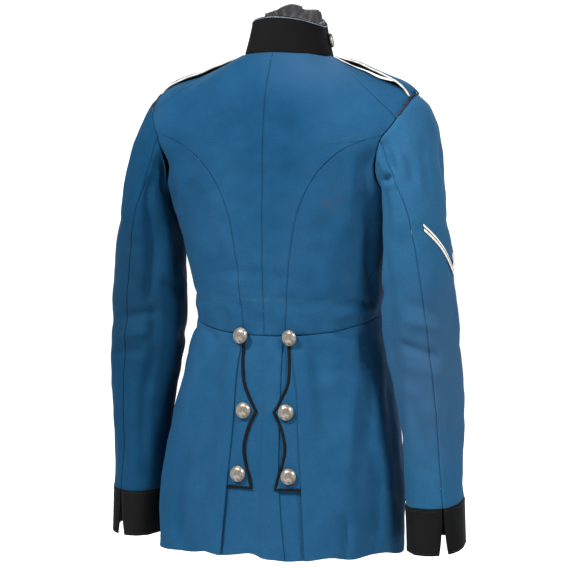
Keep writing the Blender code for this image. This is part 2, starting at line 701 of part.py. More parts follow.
def add_button(name, mesh, point, normal, collection):
    """Seat a button on a point of the cloth, facing along the normal."""
    button = bpy.data.objects.new(name, mesh)
    collection.objects.link(button)
    turn = button.modifiers.new("turn", "SCREW")
    turn.steps = turn.render_steps = BUTTON_SIDES
    turn.use_merge_vertices = True
    turn.merge_threshold = 0.00001
    direction = Vector(normal)
    button.rotation_mode = "QUATERNION"
    button.rotation_quaternion = direction.to_track_quat("Z", "Y")
    button.location = (Vector(point) + direction * BUTTON_GAP) * MILLIMETRE
    return button


def front_button_levels():
    """Return the ring levels of the front buttons, evenly spaced down the front."""
    levels = np.linspace(0, WAIST_LEVEL, 60)
    heights = [bodice(180, level)[2] for level in levels]
    wanted = np.linspace(FRONT_BUTTON_TOP, FRONT_BUTTON_BOTTOM, FRONT_BUTTONS)
    return np.interp(-wanted, -np.array(heights), levels)


def add_buttons(silver, collection):
    """Add the front and back buttons and the collar discs."""
    coat = button_mesh(COAT_BUTTON / 2, COAT_BUTTON_HEIGHT, silver)
    disc = button_mesh(COLLAR_DISC / 2, COLLAR_DISC_HEIGHT, silver)
    for index, level in enumerate(front_button_levels(), 1):
        normal = surface_normal(bodice, 180, level)
        point = bodice(180, level) + normal * (BODICE_WALL + 0.4)
        add_button(f"front_button_{index}", coat, point, normal, collection)
    for name, sign in BOTH_SIDES:
        for index, (across, height) in enumerate(BACK_BUTTONS, 1):
            place = locate(SKIRT_RINGS, sign * across, height)
            normal = surface_normal(skirt, *place)
            flap_layers = 1 if sign > 0 else 2
            layers = flap_layers + (WAIST_BUTTON_LAYERS if index == 1 else 0)
            point = skirt(*place) + normal * LAYER * layers
            add_button(f"back_button_{name}_{index}", coat, point, normal, collection)

        def collar(angle, level):
            return ring_point(COLLAR_RINGS, angle, level)
        normal = -surface_normal(collar, sign * COLLAR_DISC_ANGLE, 1.0)
        point = collar(sign * COLLAR_DISC_ANGLE, 1.0) + normal * COLLAR_DISC_CLEARANCE
        add_button(f"collar_disc_{name}", disc, point, normal, collection)


def clear_scene():
    for thing in list(bpy.data.objects):
        bpy.data.objects.remove(thing, do_unlink=True)


def main():
    clear_scene()
    tunic = bpy.data.collections.new("military_tunic")
    bpy.context.scene.collection.children.link(tunic)
    wool = make_material("blue_wool", (0.033, 0.125, 0.260), 0.85)
    black = make_material("black_wool", (0.012, 0.012, 0.013), 0.9)
    lining = make_material("dark_lining", (0.03, 0.03, 0.035), 0.6)
    white = make_material("white_piping", (0.7, 0.68, 0.6), 0.8)
    silver = make_material("silver_metal", (0.6, 0.58, 0.54), 0.35, 1.0)
    add_bodice(wool, tunic)
    add_collar(black, lining, tunic)
    add_skirts(wool, tunic)
    add_flaps(wool, black, tunic)
    add_sleeves(wool, black, white, tunic)
    add_straps(wool, white, tunic)
    add_buttons(silver, tunic)


main()
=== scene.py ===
"""Finish of the military tunic: fine cloth shells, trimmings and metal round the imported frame.

The tables repeat the part's cut in millimetres and degrees. An angle is a plan angle from the
centre back, positive towards the wearer's left, and a turn goes round a sleeve from its outer
side towards the back. Every shell is a thin wall on the form of the node that it replaces.
"""
import math

import bmesh
import bpy
import numpy as np
from mathutils import Matrix, Vector


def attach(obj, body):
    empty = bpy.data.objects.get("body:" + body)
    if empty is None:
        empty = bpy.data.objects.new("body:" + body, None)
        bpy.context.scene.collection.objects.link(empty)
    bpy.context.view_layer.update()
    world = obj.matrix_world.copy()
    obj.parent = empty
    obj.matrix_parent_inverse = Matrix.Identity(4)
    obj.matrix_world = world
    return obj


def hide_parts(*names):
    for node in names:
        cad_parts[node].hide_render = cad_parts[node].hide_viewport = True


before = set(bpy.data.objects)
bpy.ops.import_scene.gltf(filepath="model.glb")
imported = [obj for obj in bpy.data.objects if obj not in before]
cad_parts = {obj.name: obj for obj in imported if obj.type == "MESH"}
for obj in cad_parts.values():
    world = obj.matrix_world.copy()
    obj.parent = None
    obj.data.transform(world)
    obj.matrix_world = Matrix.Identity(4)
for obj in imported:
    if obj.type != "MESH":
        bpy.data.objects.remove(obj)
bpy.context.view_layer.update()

MILLIMETRE = 0.001
BOTH_SIDES = (("left", 1), ("right", -1))
BODICE_WALL = 2.2
SKIRT_WALL = 1.8
LAYER = SKIRT_WALL + 0.4
BODICE_LAYER = BODICE_WALL + 0.4
SLEEVE_WALL = 1.8

# Body rings: half width, back and front depth, height at back, side and front, squareness, sway
BODICE_RINGS = np.array([
    (61, 66, 62, 6, 0, -6, 2.2, 0),
    (122, 92, 88, -44, -26, -53, 2.8, 0),
    (186, 104, 104, -107, -54, -103, 4.0, 0),
    (175, 107, 117, -158, -150, -156, 3.7, 0),
    (160, 108, 121, -207, -205, -206, 3.1, 0),
    (139, 106, 117, -300, -296, -298, 2.5, 0),
    (130, 99, 111, -383, -362, -372, 2.3, 0),
])
SKIRT_RINGS = np.array([
    (130, 99, 111, -383, -362, -372, 2.3, 0),
    (142, 104, 115, -432, -418, -425, 2.35, 5),
    (158, 108, 119, -502, -495, -498, 2.4, 7),
    (169, 114, 122, -590, -587, -588, 2.5, 7),
    (167, 121, 125, -688, -687, -687, 2.6, 5),
])
WAIST_LEVEL = len(BODICE_RINGS) - 1
HEM_LEVEL = len(SKIRT_RINGS) - 1
# How far the seams beside the centre back hang off the middle: height and distance
BACK_LEAN = np.array(((-700, -5.5), (-450, -5.5), (-350, -2.8), (-240, 0.0)))

# Hem folds: plan angle, half width in degrees, depth at the hem
SKIRT_FOLDS = (
    (-46, 8, 5), (-66, 7, -6), (-88, 9, 7), (-113, 10, -6), (-138, 9, 5), (-160, 8, -3),
    (38, 6, -4), (62, 13, 15), (82, 7, -7), (99, 9, 7), (124, 10, -6), (149, 9, 4),
)

# Armhole: turn round the sleeve from the shoulder tip towards the back, plan angle, ring level
ARMHOLE = np.array([
    (0, 90, 1.97), (30, 78, 1.98), (50, 71, 2.02), (75, 62.5, 2.27), (100, 61.5, 2.75),
    (125, 64, 3.25), (150, 71, 3.70), (165, 79, 3.93), (180, 87, 4.0), (195, 96, 3.95),
    (215, 105, 3.70), (240, 111.5, 3.25), (265, 113, 2.75), (290, 111, 2.35),
    (315, 105, 2.10), (335, 98, 2.0),
])
SHOULDER_SEAM_TURN = 53
SIDE_BACK_SEAM_TURN = 70
UNDERARM_TURN = 180

# Seam lines: distance from the centre line, height
SIDE_BACK_SEAM = ((149, -110), (122, -121), (98, -138), (76, -162), (59, -193), (48, -225),
                  (42, -262), (38, -305), (34, -376))
SHOULDER_SEAM = ((83, 0), (71, 0.9), (67.5, 1.5))
SIDE_SEAM = ((84, 4.4), (78, 5.0), (71, 5.6), (68, 6.0))
PLEAT_EDGE = ((35, -380), (37, -400), (45, -463), (47, -505), (51, -552), (54, -588), (61.5, -682))
VENT_EDGE = ((25, -383), (21, -470), (21, -560), (25, -620), (33, -682))
FLAP_UPPER_EDGE = ((31, -386), (31, -400), (32, -420), (30, -447), (21, -469), (11, -487))
FLAP_LOWER_EDGE = ((11, -487), (22, -510), (28, -536), (25, -558), (19, -578), (16, -594))
FLAP_UNDER_PLEAT = 7
PLEAT_FLAT, PLEAT_SLOPE = 6.5, 9
CENTRE_UNDER_PLEAT = 13
VENT_UNDERLAP = -3
FRONT_LAP = 18
VENT_SLOPE_START, VENT_SLOPE = 12, 8
LAP_START = 1.6
SIDE_BACK_LEVELS = (2.205, 2.23, 2.28, 2.38, 2.56, 2.80, 3.12, 3.5, 3.8, 3.95, 4.0,
                    4.4, 4.8, 5.2, 5.6, 6.0)
PLACE_SCALE = np.array((1.6, 60.0))
PIPING_WIDTH = 4.2

# Collar and lining rings, read like the body rings
COLLAR_WALL = 2.6
LINING_WALL = 1.4
COLLAR_FRONT_GAP = 0.8
LINING_RISE, LINING_RISE_ANGLE, LINING_RISE_WIDTH = 4, 135, 45
COLLAR_RINGS = np.array([
    (60.4, 65.4, 61.4, 6.5, 0.5, -5.4, 2.2, 0),
    (55.5, 59.5, 57.0, 32, 21, 24, 2.15, 0),
    (51.5, 54.5, 54.0, 56, 42, 54, 2.1, 0),
])
LINING_RINGS = np.array([
    (56.2, 61.2, 56.6, 9, 4, 0, 2.2, 0),
    (51.2, 55.2, 51.6, 33, 23, 32, 2.15, 0),
    (47.2, 50.2, 49.4, 55, 45, 67, 2.1, 0),
])

# Sleeve rings: height, centre across and along, reach outward, inward and front to back
SLEEVE_POWER = 2.25
SLEEVE_RINGS = np.array([
    (-225, 190, 33, 46, 32, 64), (-260, 194, 31, 49, 38, 63), (-320, 198, 29, 51, 46, 60),
    (-390, 203, 25, 53, 49, 57), (-480, 210, 20, 50, 37, 53), (-570, 213.5, 15, 45, 33, 50),
    (-632, 217, 14, 43, 34, 48), (-690, 219, 13, 43, 34, 47),
])
CAP_DIRECTION = np.array((0.985, 0.0, -0.17))
CAP_FULLNESS, CAP_FALL = 0.42, 0.9
ARMHOLE_GAP = 1.1
BACK_ARM_SEAM = 68
BACK_ARM_SEAM_TURNS = np.array(((0, 78), (0.3, 90), (0.6, 92), (1.0, 86), (1.3, 77), (2.0, 68)))
FRONT_ARM_SEAM = 250
RIGHT_SEAM_TURN = -14
CUFF_TOP = -617
CUFF_FRONT_RISE = 14
CUFF_HEIGHT = 65
CUFF_SLIT = 1.4
CUFF_LIFT = 1.2
CUFF_WALL = 2.4
CHEVRON_ARMS = ((55, -224), (-12, -287), (-79, -224))
CHEVRON_WIDTH = 10
CHEVRON_WALL = 1.0
CHEVRON_LIFT = 2.0

# Shoulder straps over the left shoulder
STRAP_INNER, STRAP_OUTER = 68, 183
STRAP_CENTRE_INNER, STRAP_CENTRE_OUTER = -12, 3
STRAP_HALF_INNER, STRAP_HALF_OUTER = 17, 21
STRAP_WALL = 2.4
STRAP_LIFT = 3.2
STRAP_ARCH = 4.0
# How far the right strap's back edge stands up, in scene.py only
STRAP_RAISE = 6.0
STRAP_ROUND_SHARE, STRAP_END_WIDTH = 0.12, 0.35

# Buttons and discs, by diameter
COAT_BUTTON, COAT_BUTTON_HEIGHT = 22.0, 7.0
COLLAR_DISC, COLLAR_DISC_HEIGHT = 20.5, 3.2
COLLAR_DISC_ANGLE = 106
COLLAR_DISC_CLEARANCE = 0.6
BUTTON_GAP = 0.3
FRONT_BUTTONS = 8
FRONT_BUTTON_TOP, FRONT_BUTTON_BOTTOM = -30, -361
BACK_BUTTONS = ((35.5, -384), (31, -486), (37, -574))
WAIST_BUTTON_LAYERS = 1.1

# Collar trim: ring level of the light line, waves of the lining and of its free edge
COLLAR_LINE_LEVEL = 1.93
LINING_WAVES = ((11, 2.1, 1.0), (23, -3.4, 0.8), (37, 5.2, 0.55), (5, 4.0, 0.9), (53, 2.7, 0.3))
LINING_EDGE = 1.8

# Chevron braid: places across it, from its upper to its lower edge, and its stripe's half width
CHEVRON_COLUMNS = np.linspace(0, 1, 22)
CHEVRON_STRIPE = 2

# Strap piping: radius, distance out from the strap's edge and below its face
STRAP_PIPING_RADIUS, STRAP_PIPING_OUT, STRAP_PIPING_DROP = 1.35, 1.1, 1.0

# Button profiles: shares of the radius and of the height, from the middle outwards
DOME_PROFILE = ((0, 1), (0.3, 0.985), (0.55, 0.92), (0.74, 0.79), (0.84, 0.64), (0.87, 0.56), (0.9, 0.6),
                (0.96, 0.6), (1, 0.5), (1, 0.36), (0.96, 0.26), (0.9, 0.2), (0.88, 0.0))
DISC_PROFILE = ((0, 0.82), (0.5, 0.8), (0.74, 0.72), (0.8, 0.7), (0.84, 0.95), (0.93, 1), (0.99, 0.8),
                (1, 0.4), (0.98, 0.0))
HANGING_BUTTON, HANGING_TILT = ("right", 1), (10.0, -16.0)
BUTTONHOLE_REACH = 7.5

# Stitching: plan angle where the hem's row starts, its rise in levels, and the cuff's rows
HEM_STITCH_START, HEM_STITCH_RISE = 30, 0.11
CUFF_STITCH_LEVELS = (0.05, 0.95)

# Camera: distance in metres, height, turn from straight behind, pitch down, pixels of the frame
CAMERA_DISTANCE, CAMERA_HEIGHT = 4.0, 0.05
CAMERA_TURN, CAMERA_PITCH = 21.0, 5.3
FOCAL_PIXELS, FRAME_PIXELS, YAW_PIXELS = 2857, 570, 4.8

# Studio in metres: the round floor and the low pale wall round it
FLOOR_RADIUS, FLOOR_HEIGHT, WALL_TOP = 13.0, -1.02, 3.4
# Glow of the floor and the wall, behind the tunic and in front of it, and where it changes, in metres
FLOOR_GLOW, WALL_GLOW, WORLD_STRENGTH = (0.85, 0.30), (0.98, 0.50), 0.05
GLOW_BEHIND, GLOW_IN_FRONT = -1.3, 0.3
# Lights: name, place, size and power
LIGHTS = (
    ("key", (1.8, 2.8, 3.3), 0.7, 375),
    ("fill", (-3.0, 1.9, 2.3), 1.0, 180),
    ("rear", (0.6, -2.9, 1.7), 2.0, 95),
)

# Wool colours, as colour, lighter fading and darker fading
BODY_WOOL = ((0.0070, 0.053, 0.119), (0.0140, 0.068, 0.143), (0.0045, 0.040, 0.094))
# The sleeve wools are copies of the body wool: darker on the left sleeve as painted shade, lighter on the
# right sleeve as painted light
SHADED_LEFT_SLEEVE_WOOL = ((0.0035, 0.037, 0.086), (0.0070, 0.048, 0.104), (0.0020, 0.028, 0.066))
LIT_RIGHT_SLEEVE_WOOL = ((0.0130, 0.073, 0.152), (0.0210, 0.090, 0.178), (0.0080, 0.058, 0.126))
BLACK_WOOL = ((0.0055, 0.0055, 0.0058), (0.0100, 0.0096, 0.0094), (0.0035, 0.0035, 0.0038))

# Marks, and patches of painted highlight and painted shade: middle in metres, full and end radius, stretch,
# colour, amount and whether broken up
BODY_MARKS_AND_HIGHLIGHT = (
    ((-0.100, 0.100, -0.190), 0.006, 0.020, (1, 1, 1.4), (0.044, 0.046, 0.040), 0.4, True),
    ((0.000, 0.110, -0.333), 0.010, 0.075, (1.4, 1, 0.055), (0.036, 0.090, 0.144), 0.55, True),
    ((0.104, 0.095, -0.621), 0.0015, 0.0042, (1, 1, 1.2), (0.34, 0.38, 0.40), 0.8, False),
    ((-0.127, 0.105, -0.637), 0.001, 0.009, (1, 1, 1), (0.006, 0.012, 0.018), 0.8, True),
    # Lighter patch on the wearer's right shoulder: painted highlight where the light falls, with some wear
    ((-0.060, 0.050, 0.000), 0.020, 0.110, (1, 1, 0.8), (0.030, 0.085, 0.162), 0.5, False),
)
# Darker patch stretched down the left sleeve's back: painted shade
LEFT_SLEEVE_PAINTED_SHADE = (
    ((0.215, 0.080, -0.330), 0.02, 0.09, (1, 1, 1.8), (0.006, 0.030, 0.060), 0.5, False),
)
RIGHT_MARKS = (
    ((-0.245, 0.060, -0.420), 0.02, 0.12, (1, 1, 1.6), (0.031, 0.070, 0.128), 0.6, False),
)

# Waves of the hem: depth, rate round the body, start; and of worn cloth: depth, length, tilt, turn
HEM_WAVES = ((2.4, 5, 20), (1.8, 9, 75), (1.1, 14, 0), (0.5, 23, 40))
UNEVEN_WAVES = ((0.50, 9.0, 0.8, 0.35), (0.42, 13.0, -0.6, 1.25), (0.30, 6.2, 0.5, 2.2),
                (0.55, 19.0, 0.9, 2.9), (0.20, 4.1, -0.7, 0.9))
ARMHOLE_TUCK, ARMHOLE_TUCK_REACH = 0.75, 5.0

# Creases fade beside the pleat edge, in degrees, and are slight on the centre skirts
CALM_START, CALM_SLOPE = 4, 9
CENTRE_CALM = 0.35

# Scene detail: roll of the cloth at a seam, depth of a seam, spacing of the fine grid
SEAM_ROLL = np.array((0.0, 0.5, 1.1, 2.0, 3.4))
SEAM_DEPTH, SEAM_WIDTH = 1.0, 1.0
GRID_STEP = 4.5
BUTTON_SIDES = 32

# The crest beside a seam, the roll of a free edge, the gap of panels, sharp turns in degrees,
# and the steps round a sleeve: share of the grid's, and those that its normals are taken with
SEAM_CREST, SEAM_CREST_PLACE, SEAM_CREST_WIDTH = 0.22, 3, 1.8
EDGE_SHARE = 0.55
PANEL_GAP = 0.14
SHARP_ANGLE = 50
ROUND_STEP_SHARE = 0.62
ROUND_STEPS = (0.6, 0.02)

# Searches for a place on a surface, and levels of the neck side, shoulder and underarm
SEARCH_STEPS, WIDEST_SHARE = 26, 0.999
SHOULDER_STEPS, SHOULDER_LEVEL = 24, 2.2
NECK_LEVEL, UNDERARM_LEVEL = 1.2, 4.0
SLEEVE_INSIDE = np.array((200, 25, 0))

# How a crease bows, runs out past its ends and fades, and how the hem folds and the lap begin
CREASE_BOW, CREASE_TAIL, CREASE_FADE = 0.05, 0.15, 0.45
HEM_FOLD_POWER = 1.6
LAP_SLOPE = 0.5

# The flap's depth under its piping, the walls of both, and the collar's soft waves and line
FLAP_SINK, FLAP_WALL, FLAP_PIPING_WALL = 0.25, SKIRT_WALL - 0.3, 1.1
COLLAR_WAVES = ((0.5, 4, 0), (0.35, 9, 50))
COLLAR_ROLL = 0.8
COLLAR_LINE_LIFT, COLLAR_LINE_RADIUS = 0.15, 0.55
HANGING_LIFT = 0.6

# Stitches: rings of share along, size and sink, height over the cloth, place in the lap
STITCH_SIDES = 5
STITCH_RINGS = ((-0.5, 0.3, -0.075), (-0.3, 0.95, 0.03), (0.3, 0.95, 0.03), (0.5, 0.3, -0.075))
STITCH_LIFT = 0.05
STITCH_LAP_SHARE = 0.72

# Least share of its box that a sheet's cut fills, the share wanted then, and rounding room
LEAST_SHARE, WANTED_SHARE, ROUNDING_ROOM = 0.31, 0.32, 1.0005

# Wool: sheen, share of the grain, and noises by scale, detail, roughness and stretch
BLUE_SHEEN, BLACK_SHEEN = 0.03, 0.02
GRAIN_SHARE = 0.4
WOOL_NOISES = ((1500, 2, 0.6, (1, 1, 0.45)), (420, 4, 0.65), (38, 4, 0.6), (5.5, 3, 0.5, (1, 1, 0.6)))
RIB_SCALE = 1 / 20
STAGE_GREYS = ((0.42, 0.42, 0.42, 1), (0.46, 0.46, 0.46, 1))
LIGHT_TARGET = (0.0, 0.0, -0.3)

# Ribbed cloths: colour, other colour, pitch of the ribs in metres and roughness
RIBBED = {
    "dark_lining": ((0.055, 0.055, 0.058), (0.022, 0.022, 0.024), 0.0011, 0.5),
    "white_cord": ((0.62, 0.60, 0.54), (0.46, 0.44, 0.38), 0.0012, 0.75),
    "cream_braid": ((0.80, 0.77, 0.70), (0.58, 0.54, 0.47), 0.0010, 0.8),
    "brown_stripe": ((0.06, 0.045, 0.03), (0.035, 0.028, 0.02), 0.0010, 0.8),
    "grey_blue_cord": ((0.22, 0.27, 0.33), (0.13, 0.17, 0.22), 0.0010, 0.75),
    "blue_thread": ((0.018, 0.055, 0.11), (0.012, 0.04, 0.085), 0.0008, 0.7),
    "black_thread": ((0.012, 0.012, 0.013), (0.02, 0.02, 0.02), 0.0008, 0.7),
    # Near-black inner side of the body, skirt and sleeve shells: painted shade, so that gaps at the seams
    # read as shadow
    "inner_painted_shade": ((0.010, 0.010, 0.011), (0.006, 0.006, 0.007), 0.0011, 0.5),
}

# Creases on the body: start angle and height, end angle and height, width, depth outwards
BODY_CREASES = np.array([
    (-57, -128, -62, -205, 8, -8.7), (-62, -190, -69, -270, 9, -9.4), (-68, -255, -80, -345, 9, -7.2),
    (-52, -150, -55, -225, 8, 2.2), (61, -130, 63, -215, 8, -5.8), (55, -150, 57, -235, 8, 2.2),
    (-47, -160, -44, -240, 12, -2.2), (47, -165, 45, -245, 12, -2.2), (-34, -215, -42, -300, 11, -1.9),
    (34, -215, 44, -300, 11, -1.8), (-12, -85, -34, -120, 17, -2.0), (12, -85, 34, -125, 17, -1.9),
    (-30, -306, 42, -302, 6, -1.6), (-52, -343, -86, -338, 5, -3.5), (-50, -352, -80, -351, 5, 1.9),
    (50, -345, 84, -320, 7, -2.5), (46, -352, 86, -338, 6, 1.8), (-18, -340, -46, -331, 7, -1.8),
    (14, -340, 44, -330, 7, -1.6), (0, -150, 3, -260, 9, -1.2), (-8, -270, -12, -350, 8, -1.4),
    (118, -150, 134, -178, 9, -4.6), (-118, -146, -136, -180, 9, -4.6), (122, -190, 146, -206, 9, 2.8),
    (-120, -188, -144, -210, 9, 2.8), (130, -300, 164, -318, 9, -3.2), (-126, -306, -162, -322, 9, -3.5),
    (108, -330, 150, -344, 8, -2.5), (-108, -334, -150, -348, 8, -2.4), (150, -80, 168, -130, 14, -2.1),
    (-150, -84, -170, -136, 14, -2.0), (100, -240, 112, -300, 10, -3.3), (-100, -236, -110, -300, 10, -3.3),
])
# Creases on the skirt, in the same columns
SKIRT_CREASES = np.array([
    (-74, -376, -71, -430, 7, -10.9), (-70, -425, -67, -545, 5, -5.2), (-67, -530, -70, -694, 5, -6.4),
    (-63, -430, -60, -690, 7, 4.0), (-79, -385, -84, -440, 5, -3.8), (-78, -470, -80, -690, 8, 2.5),
    (-52, -610, -52, -694, 4, -5.8), (-47, -600, -46, -694, 6, 3.2), (-42, -392, -49, -520, 10, -3.2),
    (-34, -560, -35, -694, 6, -3.5), (44, -400, 45, -560, 7, -3.8), (45, -540, 49, -694, 6, -6.1),
    (39, -480, 40, -694, 7, 3.5), (28, -600, 28, -694, 6, -3.8), (56, -430, 62, -640, 10, 3.2),
    (66, -400, 74, -600, 10, -4.3), (33, -400, 35, -470, 6, -2.0), (84, -420, 92, -640, 9, -3.5),
    (-90, -430, -93, -640, 9, -3.2), (100, -400, 104, -650, 10, 3.2), (-100, -400, -104, -650, 10, 3.0),
    (120, -390, 126, -620, 11, -4.3), (-122, -390, -128, -640, 11, -4.1), (150, -420, 154, -690, 9, 3.0),
    (-150, -420, -154, -690, 9, -3.5), (138, -440, 140, -690, 8, 2.2), (-138, -460, -140, -690, 8, 2.2),
    (2, -400, 3, -690, 6, -1.8), (14, -600, 15, -694, 5, 2.8), (-10, -610, -11, -694, 5, 2.5),
    (-48, -372, -66, -392, 5, -2.2), (90, -368, 62, -388, 6, -2.5), (52, -376, 40, -398, 5, -2.0),
])
# Creases on the left and right sleeves: turn and height at both ends, width, depth outwards
SLEEVE_CREASES = {
    1: np.array([
        (100, -112, 112, -158, 4.5, -11.6), (110, -150, 132, -188, 6, -10.2), (92, -112, 98, -178, 6, 4.0),
        (101, -172, 103, -245, 6, -7.5), (103, -232, 110, -345, 7, -8.1), (93, -190, 96, -330, 8, 3.2),
        (110, -330, 119, -400, 8, -5.2), (119, -395, 117, -590, 9, -4.1), (124, -215, 140, -330, 11, 4.0),
        (60, -250, 96, -268, 8, -2.2), (70, -372, 126, -352, 7, -3.8), (62, -398, 118, -386, 7, 2.8),
        (48, -424, 104, -414, 7, -3.2), (78, -440, 84, -600, 8, -2.5), (-30, -352, 40, -380, 10, -3.2),
        (-70, -372, -10, -402, 10, -3.8), (30, -140, 46, -230, 9, -2.2), (64, -120, 70, -200, 7, -3.2),
        (-20, -120, -10, -200, 10, -2.0), (-100, -180, -60, -230, 9, -4.9), (-120, -350, -60, -340, 9, -4.3),
        (180, -330, 120, -320, 9, -3.5), (230, -400, 170, -388, 9, -3.8), (20, -450, 34, -600, 10, -2.2),
    ]),
    -1: np.array([
        (100, -112, 118, -152, 4.5, -12.3), (90, -108, 98, -160, 5, 3.8), (80, -106, 80, -158, 5, -6.1),
        (72, -110, 72, -170, 6, 3.0), (64, -104, 62, -176, 7, -4.1), (84, -159, 106, -168, 4, -6.1),
        (82, -170, 108, -178, 5, 2.8), (106, -176, 112, -262, 8, -5.2), (112, -250, 120, -398, 9, -6.4),
        (120, -385, 136, -560, 10, -5.8), (96, -210, 104, -380, 9, 2.5), (82, -230, 76, -300, 9, -2.2),
        (86, -332, 40, -352, 7, -2.5), (92, -356, 36, -372, 8, 2.8), (108, -388, 46, -402, 7, -3.8),
        (92, -418, 30, -440, 9, 2.2), (34, -430, 26, -580, 9, -3.2), (84, -470, 78, -600, 9, -3.2),
        (-10, -340, 30, -380, 10, -3.2), (-70, -366, -14, -398, 10, -4.1), (40, -120, 34, -190, 9, -3.2),
        (-20, -110, -14, -190, 10, -2.0), (-100, -176, -60, -226, 9, -4.9), (-120, -350, -64, -342, 9, -4.3),
        (180, -330, 120, -320, 9, -3.5), (230, -400, 170, -388, 9, -3.8),
    ]),
}
# How much longer an upright panel's cut is than its height, because the body curves
UPRIGHT_CURVE = 1.03
MM_PER_BODY_DEGREE = 2.1
MM_PER_SLEEVE_DEGREE = 0.92


def hermite(u, start, end, slope_in, slope_out):
    """Return points of smooth curves from starts to ends, with the slopes at both."""
    return ((2 * u**3 - 3 * u**2 + 1) * start + (u**3 - 2 * u**2 + u) * slope_in
            + (3 * u**2 - 2 * u**3) * end + (u**3 - u**2) * slope_out)


def unit(vectors):
    return vectors / np.linalg.norm(vectors, axis=-1, keepdims=True)


def read_table(table, level):
    """Read a table of rows at levels between its rows, with smooth slopes."""
    table = np.asarray(table, dtype=float)
    last = len(table) - 1
    level = np.clip(np.asarray(level, dtype=float), 0.0, last)
    row = np.minimum(level.astype(int), last - 1)
    start, end = table[row], table[row + 1]
    before, after = table[np.maximum(row - 1, 0)], table[np.minimum(row + 2, last)]
    slope_in = np.where((row > 0)[..., None], (end - before) / 2, end - start)
    slope_out = np.where((row + 2 <= last)[..., None], (after - start) / 2, end - start)
    return hermite((level - row)[..., None], start, end, slope_in, slope_out)


def curve_through(points, count):
    """Return count points on a smooth curve through the given rows, evenly spaced."""
    rows = np.array(points, dtype=float)
    return spaced(read_table(rows, np.linspace(0, len(rows) - 1, 40 * len(rows))), count)


def spaced(points, count, scale=1.0):
    """Return count points evenly spaced along a dense line."""
    steps = np.linalg.norm(np.diff(points * scale, axis=0), axis=1)
    along = np.concatenate(([0], np.cumsum(steps)))
    wanted = np.linspace(0, along[-1], count)
    return np.column_stack([np.interp(wanted, along, column) for column in points.T])


def smooth_step(value):
    value = np.clip(value, 0.0, 1.0)
    return value * value * (3 - 2 * value)


def ring_point(rings, angle, level):
    """Return points of a body surface at plan angles and ring levels."""
    angle, level = np.broadcast_arrays(np.asarray(angle, float), np.asarray(level, float))
    half_width, back, front, z_back, z_side, z_front, power, sway = np.moveaxis(
        read_table(rings, level), -1, 0)
    across, along = np.sin(np.radians(angle)), np.cos(np.radians(angle))
    depth = np.where(along >= 0, back, front)
    z_end = np.where(along >= 0, z_back, z_front)
    reach = (np.abs(across / half_width)**power + np.abs(along / depth)**power)**(-1 / power)
    lean = (np.abs(reach * along) / depth)**1.5
    if rings is SKIRT_RINGS:
        reach = reach + hem_fold(angle, level)
    return np.stack((sway + reach * across, reach * along, z_side + (z_end - z_side) * lean), -1)


def wrapped(angle):
    """Return plan angles between -180 and 180 degrees."""
    return (angle + 180) % 360 - 180


def hem_fold(angle, level):
    """Return how far the hem folds push the skirt out at angles and levels."""
    fall = np.maximum(level / HEM_LEVEL, 0.0)**HEM_FOLD_POWER
    turn = wrapped(angle)
    return sum(depth * fall * np.exp(-((turn - place) / width)**2)
               for place, width, depth in SKIRT_FOLDS)


def bodice(angle, level):
    return ring_point(BODICE_RINGS, angle, level)


def skirt(angle, level):
    return ring_point(SKIRT_RINGS, angle, level)


def surface_normal(surface, u, v, du=0.4, dv=0.01):
    """Return the unit normals of surface(u, v), away from the body's axis."""
    along_u = surface(u + du, v) - surface(u - du, v)
    along_v = surface(u, v + dv) - surface(u, v - dv)
    return unit(np.cross(along_u, along_v))


def back_lean(height):
    """Return how far the back's seams hang to the wearer's right at a height."""
    return np.interp(height, *BACK_LEAN.T)


def locate(rings, across, height):
    """Return plan angles and ring levels of back points given by distance and height."""
    height = np.asarray(height, float)
    across, height = np.broadcast_arrays(np.asarray(across, float) + back_lean(height), height)
    low, high = np.zeros(across.shape), np.full(across.shape, len(rings) - 1.0)
    for _ in range(SEARCH_STEPS):
        level = (low + high) / 2
        half_width, back, *_, power, sway = np.moveaxis(read_table(rings, level), -1, 0)
        share = np.minimum(np.abs(across - sway) / half_width, WIDEST_SHARE)
        depth = back * (1 - share**power)**(1 / power)
        angle = np.degrees(np.arctan2(share * half_width, depth)) * np.sign(across - sway)
        above = ring_point(rings, angle, level)[..., 2] > height
        low, high = np.where(above, level, low), np.where(above, high, level)
    return np.stack((angle, level), -1)


def armhole(turn):
    """Return the plan angle and ring level of the armhole edge at turns round the sleeve."""
    turn = np.asarray(turn, dtype=float)
    turns = np.concatenate((ARMHOLE[:, 0] - 360, ARMHOLE[:, 0], ARMHOLE[:, 0] + 360))
    places = np.tile(ARMHOLE[:, 1:], (3, 1))
    row = np.searchsorted(turns, turn, side="right") - 1
    u = ((turn - turns[row]) / (turns[row + 1] - turns[row]))[..., None]
    before, start, end, after = (places[row + k] for k in (-1, 0, 1, 2))
    return hermite(u, start, end, (end - before) / 2, (after - start) / 2)


def sleeve_ring(turn, height):
    """Return the left sleeve's points at turns and heights."""
    turn, height = np.broadcast_arrays(np.asarray(turn, float), np.asarray(height, float))
    level = np.interp(-height, -SLEEVE_RINGS[:, 0], np.arange(len(SLEEVE_RINGS)))
    _, across, along, outward, inward, depth = np.moveaxis(read_table(SLEEVE_RINGS, level), -1, 0)
    c, s = np.cos(np.radians(turn)), np.sin(np.radians(turn))
    width = np.where(c >= 0, outward, inward)
    reach = (np.abs(c / width)**SLEEVE_POWER + np.abs(s / depth)**SLEEVE_POWER)**(-1 / SLEEVE_POWER)
    return np.stack((across + reach * c, along + reach * s, height), -1)


